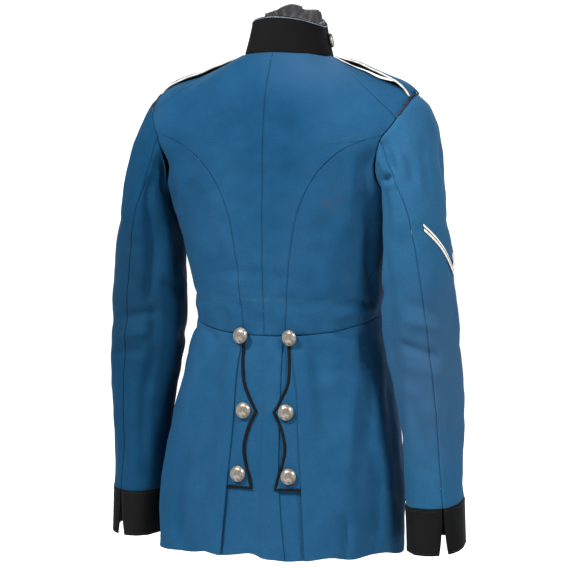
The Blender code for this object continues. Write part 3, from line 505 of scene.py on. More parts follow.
def sleeve(turn, level):
    """Return left sleeve points: levels 0 to 1 are the cap, 1 to 2 the arm down to the cuff."""
    turn, level = np.broadcast_arrays(np.asarray(turn, float), np.asarray(level, float))
    top = SLEEVE_RINGS[0, 0]
    arm = sleeve_ring(turn, top + (cuff_top(turn) - top) * np.maximum(level - 1, 0))
    start = bodice(*np.moveaxis(armhole(turn), -1, 0))
    end = sleeve_ring(turn, top)
    chord = np.linalg.norm(end - start, axis=-1, keepdims=True)
    start = start + CAP_DIRECTION * ARMHOLE_GAP
    bend = CAP_DIRECTION * chord * CAP_FULLNESS
    fall = np.array((0.0, 0.0, -1.0)) * chord * CAP_FALL
    cap = hermite(np.clip(level, 0.0, 1.0)[..., None], start, end, bend, fall)
    return np.where((level > 1)[..., None], arm, cap)


def cuff_top(turn):
    return CUFF_TOP + CUFF_FRONT_RISE * (1 - np.sin(np.radians(turn))) / 2


def cuff(turn, level):
    """Return left cuff points, level 0 at the top and 1 at the lower edge."""
    return sleeve_ring(turn, np.maximum(cuff_top(turn) - CUFF_HEIGHT * level, SLEEVE_RINGS[-1, 0]))


def seam_shift(level, sign):
    """Return how far the right sleeve's back seam is turned towards its outer side."""
    return RIGHT_SEAM_TURN * smooth_step(level) if sign < 0 else 0.0


def back_arm_seam(level, sign):
    turn = np.interp(level, BACK_ARM_SEAM_TURNS[:, 0], BACK_ARM_SEAM_TURNS[:, 1])
    return turn + seam_shift(level, sign)


def front_angle(surface, level):
    """Return the plan angle of a front edge, past the centre front by the lap."""
    return 180 + np.degrees(np.arctan2(FRONT_LAP, -surface(180, level)[..., 1]))


def front_lift(surface, layer=BODICE_LAYER):
    """Return how far the left front lies out where it laps the right front."""
    def lift(angle, level):
        lap = front_angle(surface, level) - 180
        return layer * smooth_step((angle - (180 - LAP_START * lap)) / (LAP_SLOPE * lap))
    return lift


def vent_lift(angle, level):
    """Lift the left centre skirt over the right one past the centre back."""
    point = skirt(angle, level)
    start = VENT_UNDERLAP + VENT_SLOPE_START + back_lean(point[..., 2])
    return LAYER * smooth_step((start - point[..., 0]) / VENT_SLOPE)


def pleat_lift(pleat, layers, sign):
    """Lift a side skirt over the flap at its pleat edge, and over the other front."""
    lap_lift = front_lift(skirt, LAYER) if sign > 0 else None

    def lift(angle, level):
        start = np.interp(level, pleat[:, 1], pleat[:, 0])
        raised = LAYER * layers * (1 - smooth_step((np.abs(angle - start) - PLEAT_FLAT) / PLEAT_SLOPE))
        return raised + (lap_lift(angle, level) if lap_lift else 0.0)
    return lift


def creases(table, across, height):
    """Return how far creases push the cloth in or out, as soft troughs with faded ends."""
    total = np.zeros(np.shape(across))
    for start_a, start_z, end_a, end_z, width, depth in table:
        run = np.array((end_a - start_a, end_z - start_z))
        length = np.hypot(*run)
        along = ((across - start_a) * run[0] + (height - start_z) * run[1]) / length**2
        off = ((across - start_a) * run[1] - (height - start_z) * run[0]) / length
        off = off + CREASE_BOW * length * np.sin(3.0 * along + start_a)
        fade = smooth_step((along + CREASE_TAIL) / CREASE_FADE)
        fade *= smooth_step((1 + CREASE_TAIL - along) / CREASE_FADE)
        total += depth * fade * np.exp(-(off / width)**2)
    return total


def scaled(table, mm_per_degree):
    return table * np.array((mm_per_degree, 1, mm_per_degree, 1, 1, 1))


def body_crease(angle, height, table):
    return creases(scaled(table, MM_PER_BODY_DEGREE), wrapped(angle) * MM_PER_BODY_DEGREE, height)


def sleeve_crease(turn, height, sign):
    table = scaled(SLEEVE_CREASES[sign], MM_PER_SLEEVE_DEGREE)
    full = 360 * MM_PER_SLEEVE_DEGREE
    place = (turn % 360) * MM_PER_SLEEVE_DEGREE
    return creases(table, place, height) + creases(table, place - full, height)


class Finish:
    """A material whose shader is fed by procedural nodes on the object's own coordinates."""

    def __init__(self, name):
        self.material = bpy.data.materials.new(name)
        self.material.use_nodes = True
        self.tree = self.material.node_tree
        self.shader = self.tree.nodes["Principled BSDF"]
        self.place = self.add("TexCoord").outputs["Object"]

    def feed(self, socket, value):
        """Link a socket to another one, or set it to a plain value."""
        if hasattr(value, "links"):
            self.tree.links.new(value, socket)
        else:
            socket.default_value = value

    def add(self, kind, inputs=(), **settings):
        """Add a node with its settings and its inputs, given as pairs of socket and value."""
        node = self.tree.nodes.new("ShaderNode" + kind)
        for name, value in settings.items():
            setattr(node, name, value)
        for socket, value in inputs:
            self.feed(node.inputs[socket], value)
        return node

    def noise(self, scale, detail, roughness, stretch=None):
        """Return the socket of a noise, on stretched coordinates if asked for."""
        place = self.place
        if stretch:
            place = self.add("Mapping", (("Scale", stretch), ("Vector", place))).outputs["Vector"]
        inputs = (("Scale", scale), ("Detail", detail), ("Roughness", roughness), ("Vector", place))
        return self.add("TexNoise", inputs).outputs["Fac"]

    def ramp(self, value, low, high, to_low=0.0, to_high=1.0):
        """Return a value's range smoothly mapped to another range."""
        inputs = (("Value", value), ("From Min", low), ("From Max", high), ("To Min", to_low),
                  ("To Max", to_high))
        return self.add("MapRange", inputs, interpolation_type="SMOOTHSTEP").outputs["Result"]

    def grey(self, value, low, high, dark, light):
        """Return a grey colour that follows a value."""
        level = self.ramp(value, low, high, dark, light)
        inputs = [(channel, level) for channel in ("Red", "Green", "Blue")]
        return self.add("CombineColor", inputs).outputs["Color"]

    def mix(self, kind, factor, first, second):
        """Return the colour that a mix node makes of two colours."""
        inputs = ((0, factor), (6, first), (7, second))
        return self.add("Mix", inputs, data_type="RGBA", blend_type=kind).outputs[2]

    def times(self, first, second):
        return self.add("Math", ((0, first), (1, second)), operation="MULTIPLY").outputs["Value"]

    def spot(self, centre, inner, outer, stretch):
        """Return a mask that is 1 near a point of the object and fades to 0."""
        inputs = (("Location", centre), ("Scale", stretch), ("Vector", self.place))
        place = self.add("Mapping", inputs, vector_type="TEXTURE").outputs["Vector"]
        length = self.add("VectorMath", ((0, place),), operation="LENGTH").outputs["Value"]
        return self.ramp(length, inner, outer, 1.0, 0.0)

    def finished(self, inputs, bumps=()):
        """Feed the shader, chain bumps of height, strength and distance, return the material."""
        for socket, value in inputs:
            self.feed(self.shader.inputs[socket], value)
        for height, strength, distance in bumps:
            bump = self.add("Bump", (("Height", height), ("Strength", strength), ("Distance", distance)))
            chain = self.shader.inputs["Normal"]
            if chain.links:
                self.feed(bump.inputs["Normal"], chain.links[0].from_socket)
            self.feed(chain, bump.outputs["Normal"])
        return self.material


def wool_material(name, colours, sheen, marks_and_painted_light=()):
    """Fulled wool: fibres, a soft uneven nap and slow fading, with any local spots given: stains, wear and
    patches of painted highlight and painted shade.
    """
    finish = Finish(name)
    colour, light, dark = ((*shade, 1) for shade in colours)
    fibre, nap, mottle, fade = (finish.noise(*values) for values in WOOL_NOISES)
    tone = finish.mix("MIX", finish.ramp(fade, 0.32, 0.7), dark, light)
    tone = finish.mix("MIX", finish.ramp(mottle, 0.3, 0.75, 0.25, 0.75), tone, colour)
    tone = finish.mix("MULTIPLY", GRAIN_SHARE, tone, finish.grey(fibre, 0.3, 0.72, 0.7, 1.25))
    tone = finish.mix("MULTIPLY", GRAIN_SHARE, tone, finish.grey(nap, 0.3, 0.7, 0.84, 1.14))
    for *spot, mark_and_light_colour, amount, broken in marks_and_painted_light:
        mask = finish.spot(*spot)
        if broken:
            mask = finish.times(mask, finish.ramp(mottle, 0.38, 0.62))
        tone = finish.mix("MIX", finish.times(mask, amount), tone, (*mark_and_light_colour, 1))
    inputs = (("Base Color", tone), ("Roughness", 0.88), ("Specular IOR Level", 0.05),
              ("Sheen Weight", sheen), ("Sheen Roughness", 0.42), ("Sheen Tint", (0.55, 0.75, 1.0, 1)))
    return finish.finished(inputs, ((mottle, 0.14, 0.0012), (nap, 0.2, 0.0004), (fibre, 0.26, 0.0002)))


def ribbed_material(name, colour, other, pitch, roughness):
    """Cord, braid or lining: close diagonal ribs with broken colour."""
    finish = Finish(name)
    inputs = (("Scale", RIB_SCALE / pitch), ("Distortion", 1.2), ("Detail", 2), ("Vector", finish.place))
    ribs = finish.add("TexWave", inputs, wave_type="BANDS", bands_direction="DIAGONAL").outputs["Fac"]
    grain = finish.noise(700, 3, 0.6)
    soil = finish.noise(45, 3, 0.6)
    tone = finish.mix("MIX", finish.ramp(soil, 0.35, 0.7), (*colour, 1), (*other, 1))
    tone = finish.mix("MULTIPLY", 0.5, tone, finish.grey(ribs, 0.1, 0.9, 0.72, 1.15))
    inputs = (("Base Color", tone), ("Roughness", roughness), ("Specular IOR Level", 0.3),
              ("Sheen Weight", 0.12))
    return finish.finished(inputs, ((ribs, 0.4, 0.0003), (grain, 0.35, 0.0003)))


def metal_material():
    """White metal worn dull, with blotches of brown tarnish."""
    finish = Finish("worn_white_metal")
    blotch = finish.noise(130, 4, 0.6)
    fine = finish.noise(900, 3, 0.6)
    tone = finish.mix("MIX", finish.ramp(blotch, 0.3, 0.62), (0.50, 0.48, 0.44, 1), (0.20, 0.165, 0.13, 1))
    tone = finish.mix("MULTIPLY", 0.4, tone, finish.grey(fine, 0.3, 0.7, 0.75, 1.1))
    polish = finish.ramp(blotch, 0.3, 0.7, 0.28, 0.5)
    inputs = (("Base Color", tone), ("Metallic", 0.9), ("Roughness", polish))
    return finish.finished(inputs, ((blotch, 0.12, 0.0004), (fine, 0.14, 0.0002)))


def refined(values, parts):
    """Return the values with each gap cut into equal parts."""
    index = np.arange(len(values))
    return np.interp(np.linspace(0, len(values) - 1, parts * (len(values) - 1) + 1), index, values)


def with_ends(levels, near):
    """Add levels close to both ends, so that a seam's roll has points."""
    extra = np.concatenate([(levels[0] + d, levels[-1] - d) for d in near])
    return np.unique(np.round(np.concatenate((levels, extra)), 6))


def roll_shares(width, count, first=True, last=True):
    """Return shares across a row of a given width, closer together at rolled edges."""
    roll = SEAM_ROLL * min(1.0, width / 16)
    start = roll if first else roll[:1]
    end = (width - roll)[::-1] if last else np.array([width])
    middle = np.linspace(start[-1], end[0], count + 2)[1:-1]
    return np.concatenate((start, middle, end)) / width


def between(edge_a, edge_b, surface, step=GRID_STEP, first=True, last=True):
    """Return a grid of places between two edges, with fine columns at its seams."""
    widths = np.linalg.norm(surface(*edge_b.T) - surface(*edge_a.T), axis=-1)
    count = max(2, int(widths.max() / step))
    shares = np.array([roll_shares(max(w, 0.5), count, first, last) for w in widths])[..., None]
    return edge_a[:, None, :] * (1 - shares) + edge_b[:, None, :] * shares


def edge_distance(points, axis):
    """Return the distance along the cloth from the first and the last line of a grid."""
    steps = np.linalg.norm(np.diff(points, axis=axis), axis=-1)
    pad = [(1, 0) if k == axis else (0, 0) for k in range(2)]
    along = np.cumsum(np.pad(steps, pad), axis=axis)
    total = along.take([-1], axis=axis)
    return along, total - along


def seam_roll(points, seams):
    """Return how deep the cloth turns in at the seams named by their sides of the grid."""
    distances = (*edge_distance(points, 0), *edge_distance(points, 1))
    depth = np.zeros(points.shape[:2])
    for name, distance in zip(("top", "bottom", "first", "last"), distances):
        if name in seams:
            depth += SEAM_DEPTH * np.exp(-(distance / SEAM_WIDTH)**2)
            depth -= SEAM_CREST * np.exp(-((distance - SEAM_CREST_PLACE) / SEAM_CREST_WIDTH)**2)
        if seams.get(name) == "edge":
            depth *= EDGE_SHARE
    return -depth


def new_mesh(name, points, faces, materials):
    """Return a smooth mesh of points in millimetres."""
    mesh = bpy.data.meshes.new(name)
    mesh.from_pydata((np.reshape(points, (-1, 3)) * MILLIMETRE).tolist(), [], faces)
    for material in materials:
        mesh.materials.append(material)
    mesh.shade_smooth()
    return mesh


def add_object(name, data):
    """Add an object with its data to the scene."""
    piece = bpy.data.objects.new(name, data)
    bpy.context.scene.collection.objects.link(piece)
    return piece


def thicken(piece, wall, inner_material=0):
    """Give a shell its wall inwards from its outer side."""
    solid = piece.modifiers.new("cloth", "SOLIDIFY")
    solid.thickness = wall * MILLIMETRE
    solid.offset = -1
    solid.material_offset = inner_material


def cloth_mesh(name, points, normals, materials, wall=0):
    """Make a shell of quads from a grid of outer points, facing its normals, with its wall."""
    rows, columns = points.shape[:2]
    i, j = np.meshgrid(np.arange(rows - 1), np.arange(columns - 1), indexing="ij")
    corner = (i * columns + j).ravel()
    faces = np.stack((corner, corner + columns, corner + columns + 1, corner + 1), -1)
    i, j = rows // 2, columns // 2
    down, across = points[i + 1, j] - points[i, j], points[i, j + 1] - points[i, j]
    if np.dot(np.cross(down, across), normals[i, j]) < 0:
        faces = faces[:, ::-1]
    mesh = new_mesh(name, points, faces.tolist(), materials)
    piece = add_object(name, mesh)
    if wall:
        thicken(piece, wall, len(materials) - 1)
        mesh.set_sharp_from_angle(angle=math.radians(SHARP_ANGLE))
    return piece


def dress(piece, slot, *nodes):
    """Ride the tunic's one body and stand for the named nodes; the slot is not used."""
    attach(piece, "root")
    if nodes:
        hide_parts(*nodes)


def declare_cut(points, upright=False):
    """Work out the flat width, length and area that a sheet's cloth was cut to; nothing is done with them."""
    width = np.linalg.norm(np.diff(points, axis=1), axis=-1).sum(axis=1).max() * MILLIMETRE
    length = np.linalg.norm(np.diff(points, axis=0), axis=-1).sum(axis=0).max() * MILLIMETRE
    if upright:
        length = np.ptp(points[..., 2]) * UPRIGHT_CURVE * MILLIMETRE
    crossed = np.cross(points[1:, 1:] - points[:-1, :-1], points[:-1, 1:] - points[1:, :-1])
    area = np.linalg.norm(crossed, axis=-1).sum() / 2 * MILLIMETRE**2
    share = area / (width * length)
    if share < LEAST_SHARE:
        length = area / (WANTED_SHARE * width)
    if share > 1:
        width, area = width * share * ROUNDING_ROOM, None


def add_sheet(name, points, normals, materials, wall, slot, node, upright=False):
    piece = cloth_mesh(name, points, normals, materials, wall)
    dress(piece, slot, node)
    declare_cut(points, upright)


def add_panel(node, surface, places, lift, crease, materials, seams, calm=1.0, hem=False):
    """Add one sewn panel of the body over its CAD node."""
    angle, level = places[..., 0], places[..., 1]
    base = surface(angle, level)
    normals = surface_normal(surface, angle, level)
    out = seam_roll(base, seams) + (body_crease(angle, base[..., 2], crease) + unevenness(base, 0.0)) * calm
    out = out + (lift(angle, level) if callable(lift) else lift)
    points = tightened(base + normals * out[..., None])
    if hem:
        points[..., 2] += hem_wave(angle) * (level / HEM_LEVEL)**4
    wall = SKIRT_WALL if hem else BODICE_WALL
    add_sheet(f"cloth_{node}", points, normals, materials, wall, "blue_wool", node, upright=True)


def tightened(points):
    """Draw a panel's edge lines in by a little, so that neighbours stay apart."""
    points = points.copy()
    for grid in (points, points.swapaxes(0, 1)):
        for edge, inner in ((0, 1), (-1, -2)):
            step = grid[inner] - grid[edge]
            length = np.linalg.norm(step, axis=-1, keepdims=True)
            grid[edge] += step / np.maximum(length, 1e-9) * np.minimum(PANEL_GAP, length * 0.4)
    return points


def hem_wave(angle):
    """Return the small rise and fall of the hem at plan angles."""
    return sum(depth * np.sin(np.radians(angle * rate + start)) for depth, rate, start in HEM_WAVES)


def unevenness(points, start):
    """Return the slight unevenness of worn cloth in millimetres, from crossed slow waves."""
    x, y, z = np.moveaxis(points, -1, 0)
    total = np.zeros(x.shape)
    for depth, length, tilt, turn in UNEVEN_WAVES:
        run = x * np.cos(turn) + z * np.sin(turn) + y * tilt
        bend = 0.8 * np.sin((z * np.cos(turn) - x * np.sin(turn)) / (1.7 * length) + turn + start)
        total += depth * np.sin(run / length + bend + start + 3 * turn)
    return total


def mirrored(places, sign):
    """Return places moved to the given side of the body."""
    return places * np.array((sign, 1.0))


def angle_at(edge, levels):
    """Return places on an edge at the given levels."""
    order = np.argsort(edge[:, 1], kind="stable")
    return np.column_stack((np.interp(levels, edge[order, 1], edge[order, 0]), levels))


def armhole_line(start, end, count):
    return armhole(np.linspace(start, end, count))


def front_places(outer, levels, surface):
    """Return a front's places: from its side seam to the lap, then level across the lap."""
    lap = front_angle(surface, levels) - 180
    start = np.column_stack((180 - LAP_START * lap, levels))
    edge = np.column_stack((180 + lap, levels))
    wide = between(outer, start, surface, last=False)
    return np.concatenate((wide, between(start, edge, surface, first=False)[:, 1:]), axis=1)


def add_bodice(wool, lining):
    """Add the backs, side backs and fronts."""
    seam = [armhole(SIDE_BACK_SEAM_TURN)]
    seam += [locate(BODICE_RINGS, across, height) for across, height in SIDE_BACK_SEAM]
    seam[-1][1] = WAIST_LEVEL
    princess = angle_at(curve_through(seam, 200), with_ends(refined(SIDE_BACK_LEVELS, 7), (0.01, 0.025)))
    below = int(np.argmin(np.abs(princess[:, 1] - UNDERARM_LEVEL)))
    shoulder = spaced(curve_through([*SHOULDER_SEAM, armhole(SHOULDER_SEAM_TURN)], 60), 34, PLACE_SCALE)
    arm_back = armhole_line(SHOULDER_SEAM_TURN, SIDE_BACK_SEAM_TURN, 12)
    arm_side = armhole_line(SIDE_BACK_SEAM_TURN, UNDERARM_TURN, 200)
    arm_front = armhole_line(SHOULDER_SEAM_TURN, -UNDERARM_TURN, 76)
    side = angle_at(curve_through([armhole(UNDERARM_TURN), *SIDE_SEAM], 120), princess[below:, 1])
    back_edge = np.vstack((shoulder, arm_back[1:], princess[1:]))
    back_centre = np.column_stack((np.zeros(len(back_edge)), back_edge[:, 1]))
    side_outer = np.vstack((angle_at(arm_side, princess[1:below, 1]), side))
    front_outer = np.vstack((shoulder, arm_front[1:], side[1:]))
    front_levels = np.concatenate((np.linspace(0, NECK_LEVEL, 34),
                                   np.linspace(NECK_LEVEL, UNDERARM_LEVEL, 76)[1:], side[1:, 1]))
    panels = (
        ("back", between(back_centre, back_edge, bodice), {"first": 1, "last": 1, "bottom": 1, "top": 1}),
        ("side_back", between(princess[1:], side_outer, bodice), {"first": 1, "last": 1, "bottom": 1}),
        ("front", front_places(front_outer, front_levels, bodice), {"first": 1, "bottom": 1, "last": "edge"}),
    )
    # The lining given here is the near-black painted shade on the shells' inner side
    for side_name, sign in BOTH_SIDES:
        for name, places, seams in panels:
            lift = front_lift(bodice) if (name, sign) == ("front", 1) else 0.0
            add_panel(f"{name}_{side_name}", bodice, mirrored(places, sign), lift, BODY_CREASES,
                      [wool, lining], seams)


def skirt_edge(table, levels):
    """Return a skirt edge given by distance and height as places at levels."""
    rows = locate(SKIRT_RINGS, *np.array(table, dtype=float).T)
    rows[0, 1], rows[-1, 1] = 0.0, HEM_LEVEL
    return angle_at(curve_through(rows, 160), levels)


def moved_table(table, across, sign):
    return [(sign * x + across, height) for x, height in table]


def add_skirts(wool, lining):
    """Add the side skirts with their pleats and the lapped centre skirts."""
    levels = with_ends(np.linspace(0, HEM_LEVEL, 64), (0.012, 0.03))
    # The lining given here is the near-black painted shade on the skirts' inner side
    seams = {"top": 1, "first": "edge"}
    for name, sign in BOTH_SIDES:
        pleat = skirt_edge(moved_table(PLEAT_EDGE, 0, sign), levels)
        places = mirrored(front_places(mirrored(pleat, sign), levels, skirt), sign)
        start = np.interp(places[..., 1], pleat[:, 1], pleat[:, 0])
        calm = smooth_step((np.abs(places[..., 0] - start) - CALM_START) / CALM_SLOPE)
        add_panel(f"skirt_{name}", skirt, places, pleat_lift(pleat, 2 if sign > 0 else 3, sign),
                  SKIRT_CREASES, [wool, lining], seams, calm, hem=True)
    vent = skirt_edge(moved_table(VENT_EDGE, 0, -1), levels)
    under = skirt_edge([(VENT_UNDERLAP, height) for _, height in VENT_EDGE], levels)
    for name, sign, edge, lift in (("left", 1, vent, vent_lift), ("right", -1, under, 0.0)):
        outer = skirt_edge(moved_table(PLEAT_EDGE, sign * CENTRE_UNDER_PLEAT, sign), levels)
        add_panel(f"skirt_back_{name}", skirt, between(edge, outer, skirt, step=3), lift, SKIRT_CREASES,
                  [wool, lining], seams, CENTRE_CALM, hem=True)


def flap_outline():
    """Return the flap's inner outline from the waist to its lower corner."""
    return np.vstack((curve_through(FLAP_UPPER_EDGE, 40), curve_through(FLAP_LOWER_EDGE, 44)[1:]))


def outline_inset(outline, distance):
    """Return the outline moved into the flap, away from the centre back."""
    step = np.gradient(outline, axis=0)
    normal = unit(np.column_stack((-step[:, 1], step[:, 0])))
    normal[-1] = (1.0, 1.0)
    normal[0] = (1.0, -1.0)
    return outline + normal * distance


def skirt_points(across, height, lift):
    """Return points and normals of the back skirt at distances and heights, moved out."""
    places = locate(SKIRT_RINGS, across, height)
    base = skirt(places[..., 0], places[..., 1])
    normals = surface_normal(skirt, places[..., 0], places[..., 1])
    return base + normals * np.asarray(lift)[..., None], normals


def add_flaps(wool, piping_cloth):
    """Add the pointed flaps with their rounded piping."""
    outline = flap_outline()
    inset = outline_inset(outline, PIPING_WIDTH + 0.1)
    pleat_across, heights = np.array(PLEAT_EDGE).T
    outer = np.column_stack((np.interp(-inset[:, 1], -heights, pleat_across) + FLAP_UNDER_PLEAT, inset[:, 1]))
    shares = np.linspace(0, 1, 12)[None, :, None]
    flap = inset[:, None] * (1 - shares) + outer[:, None] * shares
    bottom = np.column_stack((np.linspace(outline[-1, 0], outer[-1, 0], 16)[1:], np.full(15, outline[-1, 1])))
    edge = np.vstack((outline, bottom))
    inner = np.vstack((outline_inset(outline, PIPING_WIDTH), bottom + np.array((0, PIPING_WIDTH))))
    across = np.linspace(0, 1, 7)
    strip = edge[:, None] * (1 - across[None, :, None]) + inner[:, None] * across[None, :, None]
    crown = 0.8 - 1.6 * (2 * across - 1)**4
    for name, sign in BOTH_SIDES:
        height = LAYER * (1 if sign > 0 else 2)
        lift = np.full(flap.shape[:2], height - FLAP_SINK)
        points, normals = skirt_points(sign * flap[..., 0], flap[..., 1], lift)
        add_sheet(f"cloth_flap_{name}", points, normals, [wool], FLAP_WALL, "blue_wool", f"flap_{name}")
        lift = height + np.broadcast_to(crown, strip.shape[:2])
        points, normals = skirt_points(sign * strip[..., 0], strip[..., 1], lift)
        piece = cloth_mesh(f"piping_flap_{name}", points, normals, [piping_cloth], FLAP_PIPING_WALL)
        dress(piece, "black_wool", f"flap_piping_{name}")


def to_side(points, sign):
    return points * np.array((sign, 1.0, 1.0))


def add_round_panel(name, surface, edges, levels, sign, lift, wall, materials, slot, seams, crease=True):
    """Add a panel that goes round a sleeve between its two edges, given as turns at levels."""
    first, last = (np.column_stack((np.broadcast_to(edge, levels.shape), levels))
                   for edge in edges(levels, sign))
    places = between(first, last, surface, step=GRID_STEP * ROUND_STEP_SHARE)
    turn, level = places[..., 0], places[..., 1]
    base = surface(turn, level)
    normals = -surface_normal(surface, turn, np.maximum(level, 0.02), *ROUND_STEPS)
    out = seam_roll(base, seams) + lift
    if crease:
        fade = smooth_step(level / 0.12)
        out = out + (sleeve_crease(turn, base[..., 2], sign) + unevenness(base, 1.0 * sign)) * fade
        tuck = ARMHOLE_TUCK * np.exp(-(edge_distance(base, 0)[0] / ARMHOLE_TUCK_REACH)**2)
        base = base - CAP_DIRECTION * tuck[..., None]
    points = to_side(tightened(base + normals * out[..., None]), sign)
    add_sheet(f"cloth_{name}", points, to_side(normals, sign), materials, wall, slot, name)


def cuff_edges(level, sign):
    """Return the turns between which the cuff goes round, open at its back slit."""
    gap = CUFF_SLIT * (1 + 2 * level + 3 * level**3)
    slit = BACK_ARM_SEAM + seam_shift(1.0, sign)
    return slit + gap, slit + 360 - gap


def top_edges(level, sign):
    return FRONT_ARM_SEAM - 360, back_arm_seam(level, sign)


def under_edges(level, sign):
    return back_arm_seam(level, sign), FRONT_ARM_SEAM


def add_sleeves(wools, black, lining):
    """Add the two piece sleeves and the cuffs."""
    levels = with_ends(np.concatenate((np.linspace(0, 1, 40), np.linspace(1, 2, 96)[1:])), (0.004, 0.01))
    cuff_levels = with_ends(np.linspace(0, 1, 18), (0.012, 0.03))
    # The lining given here is the near-black painted shade on the sleeves' inner side
    seams = {"first": 1, "last": 1, "top": 1}
    open_edges = dict.fromkeys(("top", "bottom", "first", "last"), "edge")
    for name, sign in BOTH_SIDES:
        for part, edges in (("top", top_edges), ("under", under_edges)):
            add_round_panel(f"sleeve_{part}_{name}", sleeve, edges, levels, sign, 0.0, SLEEVE_WALL,
                            [wools[sign], lining], "blue_wool", seams)
        add_round_panel(f"cuff_{name}", cuff, cuff_edges, cuff_levels, sign, CUFF_LIFT, CUFF_WALL,
                        [black], "black_wool", open_edges, crease=False)


def collar_surface(angle, level):
    return ring_point(COLLAR_RINGS, angle, level)


def lining_surface(angle, level):
    """Return points of the lining inside the collar, which stands higher at the front left."""
    point = ring_point(LINING_RINGS, angle, level)
    rise = np.exp(-((angle - LINING_RISE_ANGLE) / LINING_RISE_WIDTH)**2)
    point[..., 2] += LINING_RISE * level * rise
    return point


def lining_wrinkles(angle, level):
    """Return the lining's fine wrinkles, stronger towards its free edge."""
    waves = sum(depth * np.sin(np.radians(rate * angle + 40 * np.sin(level * turn + rate)) + turn * level)
                for rate, turn, depth in LINING_WAVES)
    return waves * (0.35 + 0.65 * smooth_step(level / 2))


def add_collar(black, lining, line):
    """Add the stand collar, its light edge line and the wrinkled lining inside it."""
    edge = 180 - math.degrees(COLLAR_FRONT_GAP / BODICE_RINGS[0][2])
    levels = with_ends(np.linspace(0, 2, 26), (0.02, 0.05, 0.1))
    angle, level = np.meshgrid(np.linspace(-edge, edge, 181), levels)
    outward = -surface_normal(collar_surface, angle, np.clip(level, 0.01, 1.99))
    soft = sum(depth * np.sin(np.radians(angle * rate + start)) for depth, rate, start in COLLAR_WAVES)
    base = collar_surface(angle, level)
    roll = seam_roll(base, {"top": "edge", "bottom": 1, "first": "edge", "last": "edge"})
    points = base + outward * (soft * level / 2 + roll * COLLAR_ROLL)[..., None]
    add_sheet("cloth_collar", points, outward, [black], COLLAR_WALL - 0.2, "black_wool", "collar")
    row = int(np.argmin(np.abs(levels - COLLAR_LINE_LEVEL)))
    up = outward[row, 3:-3]
    path = points[row, 3:-3] + up * COLLAR_LINE_LIFT
    tube = tube_mesh("collar_edge_line", path, up, COLLAR_LINE_RADIUS, line)
    dress(tube, "black_wool")
    angle, level = np.meshgrid(np.linspace(-180, 180, 241), np.linspace(0, 2, 40))
    outward = -surface_normal(lining_surface, angle, np.clip(level, 0.01, 1.99))
    points = lining_surface(angle, level) + outward * (lining_wrinkles(angle, level) - 0.5)[..., None]
    points[..., 2] += LINING_EDGE * np.sin(np.radians(angle * 7 + 30)) * (level / 2)**3
    add_sheet("cloth_collar_lining", points, outward, [lining], LINING_WALL - 0.4, "dark_lining",
              "collar_lining")


def tube_mesh(name, path, up, radius, material, sides=8):
    """Make a round cord laid along a path in millimetres, with an up direction at each point."""
    along = unit(np.gradient(path, axis=0))
    side = unit(np.cross(up, along))
    rise = np.cross(along, side)
    turns = np.linspace(0, 2 * math.pi, sides, endpoint=False)[None, :, None]
    rings = path[:, None] + radius * (np.cos(turns) * side[:, None] + np.sin(turns) * rise[:, None])
    last = (len(path) - 1) * sides
    faces = [(start + k, start + (k + 1) % sides, start + sides + (k + 1) % sides, start + sides + k)
             for start in range(0, last, sides) for k in range(sides)]
    faces += [tuple(range(sides))[::-1], tuple(range(last, last + sides))]
    mesh = new_mesh(name, rings, faces, [material])
    fix_normals(mesh)
    return add_object(name, mesh)


def fix_normals(mesh):
    """Turn a closed mesh's faces outwards."""
    shape = bmesh.new()
    shape.from_mesh(mesh)
    bmesh.ops.recalc_face_normals(shape, faces=shape.faces)
    shape.to_mesh(mesh)
    shape.free()


def sleeve_outer(turn, height, sign, lift):
    """Return points and outward normals on the creased left sleeve at turns and heights."""
    point = sleeve_ring(turn, height)
    ahead, behind = sleeve_ring(turn + 1, height), sleeve_ring(turn - 1, height)
    below = sleeve_ring(turn, height - 4)
    normal = unit(np.cross(below - point, ahead - behind))
    outward = np.sum(normal * (point - SLEEVE_INSIDE) * (1, 1, 0), axis=-1, keepdims=True)
    normal *= np.sign(outward)
    return point + normal * (lift + sleeve_crease(turn, height, sign))[..., None], normal


def add_chevron(braid, stripe):
    """Add the braid chevron, point down, on the outer side of the right sleeve."""
    turns, heights = np.array(CHEVRON_ARMS, dtype=float).T
    along = np.linspace(0, 2, 121)
    turn = np.interp(along, (0, 1, 2), turns)[:, None]
    height = np.interp(along, (0, 1, 2), heights)[:, None] - CHEVRON_WIDTH * CHEVRON_COLUMNS[None, :]
    turn = np.broadcast_to(turn, height.shape)
    crown = 0.35 - 0.5 * np.abs(2 * CHEVRON_COLUMNS - 1)**3
    crown -= 0.25 * np.exp(-((CHEVRON_COLUMNS - 0.5) / 0.09)**2)
    lift = CHEVRON_LIFT - 0.3 + np.broadcast_to(crown, height.shape)
    points, normals = (to_side(values, -1) for values in sleeve_outer(turn, height, -1, lift))
    piece = cloth_mesh("braid_chevron", points, normals, [braid, stripe])
    columns = len(CHEVRON_COLUMNS) - 1
    for index, polygon in enumerate(piece.data.polygons):
        if abs(index % columns - columns // 2) <= CHEVRON_STRIPE:
            polygon.material_index = 1
    thicken(piece, CHEVRON_WALL - 0.1)
    dress(piece, "white_braid", "chevron")
    declare_cut(points)


def shoulder_place(across, along):
    """Return the bodice places above plan positions on the shoulder."""
    angle = np.degrees(np.arctan2(across, along))
    reach = np.hypot(across, along)
    low, high = np.zeros(angle.shape), np.full(angle.shape, SHOULDER_LEVEL)
    for _ in range(SHOULDER_STEPS):
        level = (low + high) / 2
        point = bodice(angle, level)
        inside = np.hypot(point[..., 0], point[..., 1]) < reach
        low, high = np.where(inside, level, low), np.where(inside, high, level)
    return angle, level


def strap_half(share):
    """Return the strap's half width at shares of its length, round at the neck end."""
    bend = 1 - (1 - np.minimum(share / STRAP_ROUND_SHARE, 1))**2
    return (STRAP_HALF_INNER + (STRAP_HALF_OUTER - STRAP_HALF_INNER) * share) * np.sqrt(
        np.maximum(bend, STRAP_END_WIDTH**2))


